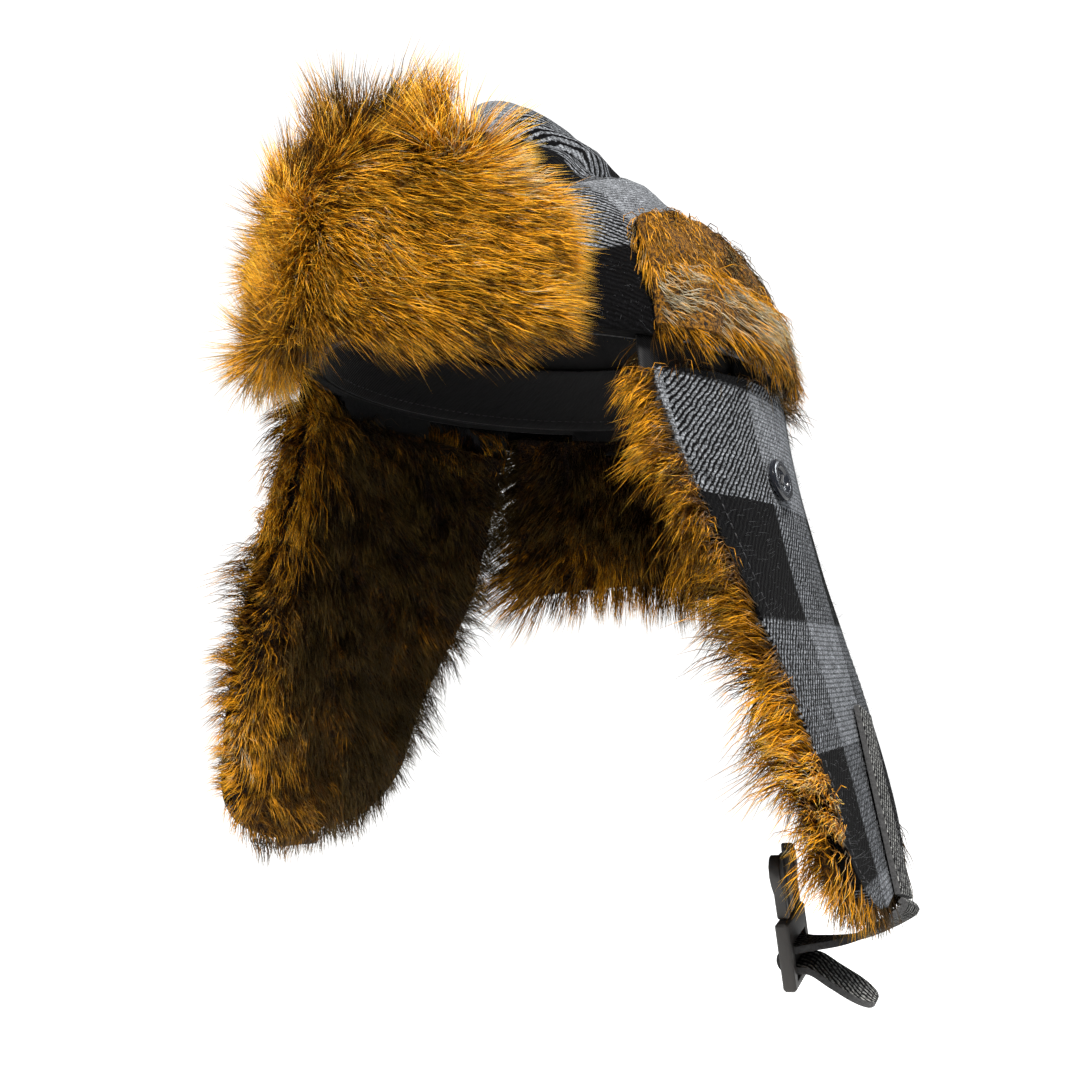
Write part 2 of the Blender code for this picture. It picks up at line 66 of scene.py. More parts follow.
# camera, stage and light
view = {"target": (2, 0, -60), "turn": 30, "rise": -5, "away": 455, "roll": 2, "lens": 38}
stageLook = {
    "floorZ": -0.40, "radius": 1.6, "color": (0.80, 0.80, 0.80), "glow": 0.80,
    "world": 0.13, "sky": 1.0, "key": 54, "fill": 2.5, "rim": 11,
}


def aimed(direction):
    return (-Vector(direction)).to_track_quat("-Z", "Y")


def makeCamera():
    turn, rise = math.radians(view["turn"]), math.radians(view["rise"])
    away = Vector((math.sin(turn) * math.cos(rise), -math.cos(turn) * math.cos(rise), math.sin(rise)))
    camera = bpy.data.objects.new("camera", bpy.data.cameras.new("camera"))
    camera.data.lens = view["lens"]
    camera.data.sensor_width = 36
    camera.data.clip_start = 0.01
    camera.rotation_mode = "QUATERNION"
    camera.location = (Vector(view["target"]) + away * view["away"]) * mm
    camera.rotation_quaternion = aimed(away) @ Matrix.Rotation(math.radians(view["roll"]), 3, "Z").to_quaternion()
    bpy.context.scene.collection.objects.link(camera)
    bpy.context.scene.camera = camera


def addLight(name, place, size, power, color=(1, 1, 1)):
    lamp = bpy.data.lights.new(name, "AREA")
    lamp.shape = "DISK"
    lamp.size = size
    lamp.energy = power
    lamp.color = color
    light = bpy.data.objects.new(name, lamp)
    light.location = place
    light.rotation_mode = "QUATERNION"
    light.rotation_quaternion = aimed(Vector(place) - Vector((0, 0, -0.04)))
    bpy.context.scene.collection.objects.link(light)


def makeFloor():
    bm = bmesh.new()
    bmesh.ops.create_circle(bm, cap_ends=True, segments=96, radius=stageLook["radius"])
    bmesh.ops.translate(bm, vec=(0, 0, stageLook["floorZ"]), verts=bm.verts)
    material, tree, shader = newMaterial("studioFloor", 0.95, specular=0.0)
    soft = noiseAt(tree, objectCoords(tree), 2.0)
    shade = mixColor(tree, spread(tree, soft, 0.2, 0.8, 0.98, 1.0), (0, 0, 0, 1), (*stageLook["color"], 1))
    tree.links.new(shade, shader.inputs["Base Color"])
    shader.inputs["Emission Color"].default_value = (1, 1, 1, 1)
    seen = addNode(tree, "LightPath").outputs["Is Camera Ray"]
    tree.links.new(calc(tree, "MULTIPLY", seen, stageLook["glow"]), shader.inputs["Emission Strength"])
    addMesh("studioFloor", bm, [material])


def makeStage():
    makeFloor()
    world = bpy.data.worlds.new("studio")
    world.use_nodes = True
    tree = world.node_tree
    background = tree.nodes["Background"]
    background.inputs["Color"].default_value = (1, 1, 1, 1)
    seen = addNode(tree, "LightPath").outputs["Is Camera Ray"]
    strength = calc(tree, "ADD", calc(tree, "MULTIPLY", seen, stageLook["sky"]), stageLook["world"])
    tree.links.new(strength, background.inputs["Strength"])
    bpy.context.scene.world = world
    bpy.context.scene.view_settings.view_transform = "Standard"
    addLight("key", (0.50, -0.90, 1.0), 0.4, stageLook["key"], (1, 0.98, 0.94))
    addLight("fill", (-1.2, -0.9, 0.35), 0.9, stageLook["fill"])
    addLight("rim", (0.9, 0.9, 0.6), 0.6, stageLook["rim"], (0.92, 0.96, 1))


# node helpers
def addNode(tree, kind, inputs=None, **settings):
    node = tree.nodes.new("ShaderNode" + kind)
    for key, value in settings.items():
        setattr(node, key, value)
    for key, value in (inputs or {}).items():
        if isinstance(value, bpy.types.NodeSocket):
            tree.links.new(value, node.inputs[key])
        else:
            node.inputs[key].default_value = value
    return node


def calc(tree, operation, *values, clamp=False):
    inputs = {index: value for index, value in enumerate(values)}
    return addNode(tree, "Math", inputs, operation=operation, use_clamp=clamp).outputs[0]


def mixColor(tree, share, first, second, blend="MIX"):
    node = addNode(tree, "Mix", {0: share, 6: first, 7: second}, data_type="RGBA", blend_type=blend)
    return node.outputs[2]


def spread(tree, value, low, high, toLow=0.0, toHigh=1.0):
    inputs = {"Value": value, "From Min": low, "From Max": high, "To Min": toLow, "To Max": toHigh}
    return addNode(tree, "MapRange", inputs, clamp=True).outputs["Result"]


def noiseAt(tree, vector, scale, detail=2.0, rough=0.5):
    inputs = {"Vector": vector, "Scale": scale, "Detail": detail, "Roughness": rough}
    return addNode(tree, "TexNoise", inputs).outputs["Fac"]


def newGroup(name, inputs, outputs):
    tree = bpy.data.node_groups.new(name, "ShaderNodeTree")
    kinds = {"float": "NodeSocketFloat", "color": "NodeSocketColor", "vector": "NodeSocketVector"}
    for socket, (kind, value) in inputs.items():
        made = tree.interface.new_socket(name=socket, in_out="INPUT", socket_type=kinds[kind])
        if value is not None:
            made.default_value = value
    for socket, kind in outputs.items():
        tree.interface.new_socket(name=socket, in_out="OUTPUT", socket_type=kinds[kind])
    source = tree.nodes.new("NodeGroupInput").outputs
    sink = tree.nodes.new("NodeGroupOutput").inputs
    return tree, source, sink


def useGroup(tree, group, inputs):
    return addNode(tree, "Group", inputs, node_tree=group).outputs


def newMaterial(name, roughness, sheen=0.0, coat=0.0, specular=0.5):
    material = bpy.data.materials.new(name)
    material.use_nodes = True
    tree = material.node_tree
    shader = tree.nodes["Principled BSDF"]
    shader.inputs["Roughness"].default_value = roughness
    shader.inputs["Sheen Weight"].default_value = sheen
    shader.inputs["Coat Weight"].default_value = coat
    shader.inputs["Specular IOR Level"].default_value = specular
    return material, tree, shader


def addBump(tree, shader, height, strength, distance):
    inputs = {"Height": height, "Strength": strength, "Distance": distance}
    tree.links.new(addNode(tree, "Bump", inputs).outputs["Normal"], shader.inputs["Normal"])


def objectCoords(tree):
    return addNode(tree, "TexCoord").outputs["Object"]


# wool: a twill whose warp and weft both change colour every check
def makeWoolGroup():
    inputs = {
        "Cloth": ("vector", None),
        "Place": ("vector", None),
        "Check": ("float", 0.041),
        "Twill": ("float", 0.0022),
        "Shift": ("vector", (0, 0, 0)),
        "Dark": ("color", (0.0012, 0.0012, 0.0015, 1)),
        "Light": ("color", (0.20, 0.21, 0.23, 1)),
    }
    tree, source, sink = newGroup("woolTwill", inputs, {"Color": "color", "Height": "float"})
    wobble = addNode(tree, "TexNoise", {"Vector": source["Place"], "Scale": 900.0, "Detail": 2.0})
    shaken = addNode(
        tree, "VectorMath", {0: wobble.outputs["Color"], 1: (0.0009, 0.0009, 0.0)}, operation="MULTIPLY"
    ).outputs[0]
    moved = addNode(tree, "VectorMath", {0: source["Cloth"], 1: source["Shift"]}, operation="ADD").outputs[0]
    moved = addNode(tree, "VectorMath", {0: moved, 1: shaken}, operation="ADD").outputs[0]
    parts = addNode(tree, "SeparateXYZ", {0: moved}).outputs
    pair = calc(tree, "MULTIPLY", source["Check"], 2.0)

    def lightBand(socket):
        turn = calc(tree, "FRACT", calc(tree, "DIVIDE", socket, pair))
        return spread(tree, turn, 0.49, 0.51)

    warp, weft = lightBand(parts["X"]), lightBand(parts["Y"])
    waver = noiseAt(tree, source["Place"], 170.0, 2.0, 0.6)
    diagonal = calc(tree, "ADD", calc(tree, "ADD", parts["X"], parts["Y"]), calc(tree, "MULTIPLY", waver, 0.0030))
    wave = calc(tree, "SINE", calc(tree, "DIVIDE", calc(tree, "MULTIPLY", diagonal, 2 * math.pi), source["Twill"]))
    over = spread(tree, wave, -0.35, 0.35)
    yarn = calc(tree, "MULTIPLY", parts["Y"], 2 * math.pi / 0.0016)
    dash = spread(tree, calc(tree, "SINE", yarn), -1.0, -0.2, 0.35, 1.0)
    lightness = addNode(tree, "Mix", {0: over, 2: weft, 3: warp}).outputs[0]
    lightness = calc(tree, "MULTIPLY", lightness, dash)
    fuzz = noiseAt(tree, source["Place"], 1500.0, 3.0, 0.7)
    cloud = noiseAt(tree, source["Place"], 260.0, 3.0, 0.6)
    stray = spread(tree, fuzz, 0.62, 0.80, 0.0, 0.08)  # pale hairs in the dark yarn
    lightness = calc(tree, "MAXIMUM", lightness, stray)
    clouded = spread(tree, cloud, 0.3, 0.7, 0.6, 1.25)
    worn = calc(tree, "MULTIPLY", spread(tree, fuzz, 0.34, 0.68, 0.05, 2.3), clouded)
    worn = addNode(tree, "CombineXYZ", {0: worn, 1: worn, 2: worn}).outputs[0]
    shade = mixColor(tree, 1.0, mixColor(tree, lightness, source["Dark"], source["Light"]), worn, "MULTIPLY")
    tree.links.new(shade, sink["Color"])
    height = calc(tree, "ADD", calc(tree, "MULTIPLY", wave, 0.35), calc(tree, "MULTIPLY", fuzz, 0.9))
    tree.links.new(height, sink["Height"])
    return tree


def makeWool(name, twill=0.0024, shift=(0, 0, 0), light=(0.135, 0.142, 0.155, 1), check=0.041):
    material, tree, shader = newMaterial(name, 0.95, sheen=0.01, specular=0.05)
    shader.inputs["Sheen Roughness"].default_value = 0.5
    cloth = addNode(tree, "UVMap", uv_map="cloth").outputs[0]
    inputs = {
        "Cloth": cloth, "Place": objectCoords(tree), "Twill": twill, "Shift": shift, "Light": light, "Check": check,
    }
    made = useGroup(tree, woolGroup, inputs)
    tree.links.new(made["Color"], shader.inputs["Base Color"])
    addBump(tree, shader, made["Height"], 0.8, 0.0005)
    return material


# fur: dark roots, partly the fur's own dark base and partly painted shade deep in the pile; brown to gold to pale
# along patches of the pelt
furColors = {
    # root: near black, the fur's own dark base and painted shade deep in the pile
    "root": (0.004, 0.0015, 0.0004, 1),
    # deep: near black, for random dark hairs and for painted shade
    "deep": (0.010, 0.0035, 0.0010, 1),
    "brown": (0.075, 0.021, 0.002, 1),
    "gold": (0.90, 0.37, 0.008, 1),
    "pale": (0.46, 0.41, 0.30, 1),
    # tip: the fur's own light tips and a painted highlight
    "tip": (1.0, 0.66, 0.07, 1),
}


def makeFurGroup():
    inputs = {
        "Along": ("float", 0.5),
        "Chance": ("float", 0.5),
        "Tone": ("float", 0.5),
        "Place": ("vector", None),
    }
    tree, source, sink = newGroup("furTone", inputs, {"Color": "color"})
    patch = noiseAt(tree, source["Place"], 38.0, 3.0, 0.6)
    lock = noiseAt(tree, source["Place"], 260.0, 2.0, 0.6)
    tone = calc(tree, "ADD", source["Tone"], spread(tree, patch, 0.3, 0.7, -0.14, 0.14))
    tone = calc(tree, "ADD", tone, spread(tree, lock, 0.3, 0.7, -0.16, 0.16))
    tone = calc(tree, "ADD", tone, spread(tree, source["Chance"], 0.0, 1.0, -0.16, 0.16))
    # tones below 0.2 run to near black: random dark patches, and painted shade where the flap, neck and visor-edge
    # habits lower the tone
    warm = mixColor(tree, spread(tree, tone, 0.0, 0.2), furColors["deep"], furColors["brown"])
    warm = mixColor(tree, spread(tree, tone, 0.2, 0.5), warm, furColors["gold"])
    sable = calc(tree, "MULTIPLY", spread(tree, source["Chance"], 0.74, 0.84), 0.85)  # a dark hair here and there
    warm = mixColor(tree, sable, warm, furColors["deep"])
    coat = mixColor(tree, spread(tree, tone, 0.66, 0.92), warm, furColors["pale"])
    # the tips turn bright yellow: partly the fur's own light tips, partly a painted highlight
    nearTip = spread(tree, source["Along"], 0.7, 1.0)
    tipShare = calc(tree, "MULTIPLY", nearTip, spread(tree, tone, 0.3, 0.6, 0.1, 0.75))
    tipsAndHighlight = mixColor(tree, tipShare, coat, furColors["tip"])
    # the root end runs to near black: partly the fur's own dark base, partly painted shade deep in the pile
    rootDarkAndShade = mixColor(tree, spread(tree, source["Along"], 0.08, 0.80), furColors["root"], tipsAndHighlight)
    tree.links.new(rootDarkAndShade, sink["Color"])
    return tree


def makeFurMaterial(name):
    material, tree, shader = newMaterial(name, 0.36, specular=0.5)
    shader.inputs["Specular Tint"].default_value = (1.0, 0.72, 0.28, 1)
    strand = addNode(tree, "SeparateXYZ", {0: addNode(tree, "UVMap", uv_map="strand").outputs[0]}).outputs
    tone = addNode(tree, "Attribute", attribute_name="tone", attribute_type="GEOMETRY").outputs["Fac"]
    inputs = {"Along": strand["X"], "Chance": strand["Y"], "Tone": tone, "Place": objectCoords(tree)}
    tree.links.new(useGroup(tree, furGroup, inputs)["Color"], shader.inputs["Base Color"])
    return material


def makePeltMaterial(name):
    material, tree, shader = newMaterial(name, 0.8, specular=0.2)
    place = objectCoords(tree)
    chance = noiseAt(tree, place, 900.0, 3.0, 0.7)
    tone = addNode(tree, "Attribute", attribute_name="tone", attribute_type="GEOMETRY").outputs["Fac"]
    # the pelt takes the near-black root end of the fur colour: the fur's own dark base and painted shade under the
    # hair
    inputs = {"Along": spread(tree, chance, 0.3, 0.7, 0.0, 0.35), "Chance": chance, "Tone": tone, "Place": place}
    tree.links.new(useGroup(tree, furGroup, inputs)["Color"], shader.inputs["Base Color"])
    addBump(tree, shader, chance, 1.0, 0.002)
    return material


# lining, plastics, thread and the stuffing
def makeSatin(name, color, stitchPitch):
    material, tree, shader = newMaterial(name, 0.55, sheen=0.05, specular=0.2)
    cloth = addNode(tree, "SeparateXYZ", {0: addNode(tree, "UVMap", uv_map="cloth").outputs[0]}).outputs
    diagonal = calc(tree, "ADD", cloth["X"], cloth["Y"])
    rib = calc(tree, "SINE", calc(tree, "MULTIPLY", diagonal, 2 * math.pi / stitchPitch))
    grain = noiseAt(tree, objectCoords(tree), 700.0, 3.0)
    shade = spread(tree, calc(tree, "ADD", calc(tree, "MULTIPLY", rib, 0.2), grain), 0.2, 0.9, 0.5, 1.4)
    dark = tuple(0.4 * part for part in color)
    tree.links.new(mixColor(tree, shade, (*dark, 1), (*color, 1)), shader.inputs["Base Color"])
    tree.links.new(spread(tree, grain, 0.3, 0.7, 0.5, 0.7), shader.inputs["Roughness"])
    addBump(tree, shader, calc(tree, "ADD", rib, grain), 0.4, 0.0002)
    return material


def makePlastic(name, color, low, high, grainScale, depth, coat=0.0):
    material, tree, shader = newMaterial(name, low, coat=coat)
    place = objectCoords(tree)
    grain = noiseAt(tree, place, grainScale, 3.0, 0.6)
    smear = noiseAt(tree, place, 90.0, 4.0, 0.6)
    tree.links.new(spread(tree, smear, 0.3, 0.75, low, high), shader.inputs["Roughness"])
    worn = tuple(1.8 * part + 0.004 for part in color)
    shade = mixColor(tree, spread(tree, smear, 0.35, 0.8), (*color, 1), (*worn, 1))
    tree.links.new(shade, shader.inputs["Base Color"])
    addBump(tree, shader, grain, 0.35, depth)
    return material


def makeFiber(name, color, scale, roughness=0.95):
    material, tree, shader = newMaterial(name, roughness, sheen=0.2, specular=0.2)
    grain = noiseAt(tree, objectCoords(tree), scale, 4.0, 0.7)
    dark = tuple(0.35 * part for part in color)
    shade = mixColor(tree, spread(tree, grain, 0.3, 0.7), (*dark, 1), (*color, 1))
    tree.links.new(shade, shader.inputs["Base Color"])
    addBump(tree, shader, grain, 0.8, 0.0004)
    return material


# mesh helpers
def addMesh(name, bm, materials):
    mesh = bpy.data.meshes.new(name)
    bm.to_mesh(mesh)
    bm.free()
    mesh.polygons.foreach_set("use_smooth", [True] * len(mesh.polygons))
    piece = bpy.data.objects.new(name, mesh)
    for material in materials:
        mesh.materials.append(material)
    bpy.context.scene.collection.objects.link(piece)
    return piece


def addWall(piece, thickness, offset=-1):
    wall = piece.modifiers.new("wall", "SOLIDIFY")
    wall.thickness = thickness
    wall.offset = offset
    return wall


def addRound(piece, width, segments=2, angle=50):
    edge = piece.modifiers.new("round", "BEVEL")
    edge.width = width
    edge.segments = segments
    edge.limit_method = "ANGLE"
    edge.angle_limit = math.radians(angle)
    return edge


def settle(piece, body, node=None):
    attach(piece, body)
    if node:
        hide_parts(node)
    return piece


def moveVerts(bm, placed):
    for vert, co in zip(bm.verts, placed):
        vert.co = co


def turnedTo(across, along, normal):
    return Matrix((across, along, normal)).transposed().to_4x4()


def fill(data, key, values, kind=np.float32):
    data.foreach_set(key, values.reshape(-1).astype(kind))


def unit(vectors):
    return vectors / np.maximum(np.linalg.norm(vectors, axis=-1, keepdims=True), 1e-12)


def ease(value):
    value = np.clip(value, 0, 1)
    return value * value * (3 - 2 * value)


def onSurface(surface, s, t):
    step = 1e-3
    here = surface["at"](s, t)
    acrossWay = surface["at"](np.minimum(s + step, 1), t) - surface["at"](np.maximum(s - step, 0), t)
    upWay = surface["at"](s, np.minimum(t + step, 1)) - surface["at"](s, np.maximum(t - step, 0))
    acrossWay, upWay = unit(acrossWay), unit(upWay)
    normal = unit(np.cross(acrossWay, upWay))
    toward = surface["toward"](here)
    normal *= np.where(np.sum(normal * toward, axis=-1, keepdims=True) < 0, -1, 1)
    return here, normal, acrossWay, upWay


def noiseField(points, scale, seed, axes=(1, 1, 1)):
    offset = Vector((seed * 7.3, seed * 3.1, seed * 1.7))
    stretch = Vector(axes) * scale
    return np.array([noise.noise(Vector(point) * stretch + offset) for point in points])


def layCloth(name, surface, spec, material, body=None, node=None):
    bm = bmesh.new()
    columns, rows = spec["grid"]
    bmesh.ops.create_grid(bm, x_segments=columns, y_segments=rows, size=0.5)
    low, high = spec["wall"]
    s0, s1, t0, t1 = spec.get("within", (0, 1, 0, 1))
    plain = np.array([vert.co for vert in bm.verts])
    s = s0 + (s1 - s0) * (plain[:, 0] + 0.5)
    t = t0 + (t1 - t0) * (plain[:, 1] + 0.5)
    here, normal, acrossWay, upWay = onSurface(surface, s, t)
    relief = spec["relief"](s, t, here) if "relief" in spec else 0 * s
    placed = here + normal * (high + relief)[:, None]
    moveVerts(bm, placed)
    cloth = bm.loops.layers.uv.new("cloth")
    width, height = surface["size"]
    straight = surface["straight"](here) if "straight" in surface else None
    for face in bm.faces:
        for loop in face.loops:
            index = loop.vert.index
            loop[cloth].uv = (s[index] * width, t[index] * height) if straight is None else straight[index]
    bm.normal_update()
    if sum(face.normal.dot(Vector(normal[face.verts[0].index])) for face in bm.faces) < 0:
        bmesh.ops.reverse_faces(bm, faces=bm.faces)
    if surface.get("closed"):
        bmesh.ops.remove_doubles(bm, verts=bm.verts, dist=0.05 * mm)
        bm.normal_update()
    if "lip" in spec:  # the hem turned in round the edge of what it holds
        rim = [edge for edge in bm.edges if edge.is_boundary]
        grown = bmesh.ops.extrude_edge_only(bm, edges=rim)["geom"]
        index = kdtree.KDTree(len(placed))
        for number, co in enumerate(placed):
            index.insert(co, number)
        index.balance()
        for vert in [item for item in grown if isinstance(item, bmesh.types.BMVert)]:
            vert.co += Vector(normal[index.find(vert.co)[1]]) * spec["lip"]
    piece = addMesh(name, bm, [material])
    addWall(piece, high - low).use_even_offset = "lip" in spec
    if "round" in spec:
        addRound(piece, spec["round"], angle=45)
    if "tone" in spec:
        values = np.ones(len(piece.data.vertices)) * spec["tone"](s, t)[: len(piece.data.vertices)]
        piece.data.attributes.new("tone", "FLOAT", "POINT").data.foreach_set("value", values)
    return settle(piece, body, node) if body else piece


# surfaces of the hat, each over two shares from 0 to 1
crown = {"halfWidth": 95, "halfLength": 105, "height": 126, "full": 2.6, "slump": 0.64, "slouch": 26, "hem": 0.6}
flapCut = {"length": 190, "corner": 30, "frontY": -62, "backY": 75, "splay": {"left": 16, "right": 6.5}}
sideSign = {"left": 1, "right": -1}


def crownAt(angle, rise, depth=0.0):
    rise = np.clip(rise, 0, 1)
    share = np.sqrt(1 - rise ** crown["full"]) * (1 - crown["slump"] * rise ** 1.6)
    x = (crown["halfWidth"] * share - depth) * np.cos(angle) - crown["slouch"] * rise ** 1.5
    y = (crown["halfLength"] * share - depth) * np.sin(angle)
    return np.stack((x, y, crown["hem"] + crown["height"] * rise), -1) * mm


def hemX(y):
    return crown["halfWidth"] * np.sqrt(1 - (y / crown["halfLength"]) ** 2)


def hemY(x):
    return crown["halfLength"] * np.sqrt(1 - (x / crown["halfWidth"]) ** 2)


def browAt(angle, out, z):
    x = (crown["halfWidth"] + out) * np.sin(angle)
    y = -(crown["halfLength"] + out) * np.cos(angle)
    return np.stack((x, y, z), -1) * mm


def fromAxis(points):
    return points * np.array((1, 1, 0))


def cuffAt(s, t):
    angle = math.radians(-36) + math.radians(252) * s
    end = np.clip(np.minimum(s, 1 - s) * 12, 0, 1)
    height = 47 - 14 * (1 - np.sqrt(1 - (1 - end) ** 2))
    return crownAt(angle, (2 + height * t) / crown["height"])


def bandAt(s, t):
    return crownAt(2 * math.pi * s, (1.4 + 28 * t) / crown["height"], 10.3)


def visorAt(s, t):
    angle = math.radians(45) * (2 * s - 1)
    arch = np.clip(1 - np.abs(2 * s - 1) ** 2.2, 0, 1) ** 0.8
    top = (20 + 50 * arch) * (1 - 0.25 * ease((s - 0.6) / 0.3)) - 2
    low = -2 + 8 * np.exp(-((s - 0.35) / 0.10) ** 2)  # the brow edge is arched on the wearer's right
    z = low + (top - low) * t
    return browAt(angle, 3 + 0.02 * np.maximum(z, 0), z)


def flapLengthAt(s):
    short = np.clip(1 - 88 * np.minimum(s, 1 - s) / flapCut["corner"], 0, 1)
    return flapCut["length"] - 10 * s - flapCut["corner"] * (1 - np.sqrt(1 - short ** 2))


def flapX(splay, y, down):
    roundX = hemX(y)
    flatX = crown["halfWidth"] - 0.0012 * y ** 2 + 0.0019 * np.maximum(0, 20 - y) ** 2
    return roundX + (flatX - roundX) * 0.85 * ease(down / 150) + math.tan(splay) * down ** 2 / (down + 30)


def flapPoint(side, y, down):
    splay = math.radians(flapCut["splay"][side])
    y, down = np.asarray(y, float), np.asarray(down, float)
    return np.stack((sideSign[side] * flapX(splay, y, down), y, -down * math.cos(splay)), -1) * mm


def flapTop(y):
    # the top edge starts lower where the hem curves in, clear of it as the flap swings
    return 1.2 + math.sin(math.radians(12)) * (105 - (flapX(0, y, 0 * y) - 18))


def flapAt(side, s, t):
    length = flapLengthAt(s)
    down = length * t
    front = flapCut["frontY"] + 15 * (down / flapCut["length"]) ** 1.3
    back = flapCut["backY"] - 22 * ease((down - 66) / 90)
    y = front + (back - front) * s
    top = flapTop(y)
    return flapPoint(side, y, top + (length - top) * t)


def neckAt(s, t):
    x = 61 * (2 * s - 1)
    y = hemY(x)
    z = -2 - (70 + 8 * (2 * s - 1) ** 2) * t
    return np.stack((x, y - 0.10 * z, z), -1) * mm


def flapThread(here):
    return np.stack((here[:, 1], -here[:, 2] * 1.03), -1)  # the check runs straight down the flap


def makeFlapSurface(side):
    return {
        "at": lambda s, t: flapAt(side, s, t), "toward": lambda p: np.array((sideSign[side], 0, 0)),
        "size": (0.128, 0.18), "straight": flapThread,
    }


surfaces = {
    "cuff": {"at": cuffAt, "toward": fromAxis, "size": (0.46, 0.047)},
    "band": {"at": bandAt, "toward": fromAxis, "size": (0.58, 0.028), "closed": True},
    "visor": {"at": visorAt, "toward": fromAxis, "size": (0.17, 0.07)},
    "left": makeFlapSurface("left"),
    "right": makeFlapSurface("right"),
    "neck": {"at": neckAt, "toward": fromAxis, "size": (0.13, 0.075)},
}


# strands
def strandTemplate():
    bm = bmesh.new()
    bmesh.ops.create_cone(bm, cap_ends=True, segments=3, radius1=1, radius2=0, depth=1)
    bmesh.ops.remove_doubles(bm, verts=bm.verts, dist=1e-5)
    sides = [edge for edge in bm.edges if abs(edge.verts[0].co.z - edge.verts[1].co.z) > 0.5]
    bmesh.ops.subdivide_edges(bm, edges=sides, cuts=2)
    caps = [face for face in bm.faces if all(vert.co.z < -0.49 for vert in face.verts)]
    bmesh.ops.delete(bm, geom=caps, context="FACES_ONLY")
    bm.verts.ensure_lookup_table()
    along = np.array([vert.co.z + 0.5 for vert in bm.verts])
    turn = np.array([math.atan2(vert.co.y, vert.co.x) for vert in bm.verts])
    faces = [[vert.index for vert in face.verts] for face in bm.faces]
    bm.free()
    return along, turn, faces


def strandMesh(name, bend, wave, width, chance, tone, material, body):
    # bend holds three points for each strand: root, middle handle and tip
    along, turn, faces = strandTemplate()
    count, size = len(chance), len(along)
    a, b, c = bend
    verts = np.zeros((count, size, 3))
    aside = unit(np.cross(b - a, np.stack((0.3 + chance, 0.7 - chance, 0.5 * np.ones(count)), -1)))
    for index in range(size):
        u = along[index]
        centre = a * (1 - u) ** 2 + 2 * b * u * (1 - u) + c * u * u + wave * (u * math.sin(5.2 * u + 0.6))
        tangent = unit((b - a) * (1 - u) + (c - b) * u)
        sideWay = unit(aside - tangent * np.sum(aside * tangent, axis=-1, keepdims=True))
        other = np.cross(tangent, sideWay)
        radius = (width * (0.55 + 0.9 * u - 1.45 * u * u))[:, None]
        verts[:, index] = centre + radius * (math.cos(turn[index]) * sideWay + math.sin(turn[index]) * other)
    loops = np.array([index for face in faces for index in face])
    sizes = np.array([len(face) for face in faces])
    mesh = bpy.data.meshes.new(name)
    mesh.vertices.add(count * size)
    fill(mesh.vertices, "co", verts)
    allLoops = (loops[None, :] + size * np.arange(count)[:, None]).reshape(-1)
    allSizes = np.tile(sizes, count)
    mesh.loops.add(len(allLoops))
    fill(mesh.loops, "vertex_index", allLoops, np.int32)
    mesh.polygons.add(len(allSizes))
    starts = np.concatenate(([0], np.cumsum(allSizes)[:-1]))
    fill(mesh.polygons, "loop_start", starts, np.int32)
    fill(mesh.polygons, "use_smooth", np.ones(len(allSizes)), bool)
    mesh.update(calc_edges=True)
    owner = np.repeat(np.arange(count), len(loops))
    loopAlong, loopTurn = np.tile(along[loops], count), np.tile(turn[loops], count)
    strand = mesh.uv_layers.new(name="strand")
    fill(strand.data, "uv", np.stack((loopAlong, chance[owner]), -1))
    cells = math.ceil(math.sqrt(count))  # every strand has a cell of its own to be baked in
    cellU = (owner % cells + 0.1 + 0.8 * loopAlong) / cells
    cellV = (owner // cells + 0.1 + 0.8 * (loopTurn / (2 * math.pi) + 0.5)) / cells
    baked = mesh.uv_layers.new(name="OFBake")
    fill(baked.data, "uv", np.stack((cellU, cellV), -1))
    fill(mesh.attributes.new("tone", "FLOAT", "POINT").data, "value", np.repeat(tone, size))
    mesh.materials.append(material)
    piece = bpy.data.objects.new(name, mesh)
    bpy.context.scene.collection.objects.link(piece)
    settle(piece, body)


strandsPerPiece = 12400  # at most this many strands go into one mesh; keeps each mesh under its limit of triangles
furReach = 0.0115  # how far hair may stand past the CAD's box, in metres


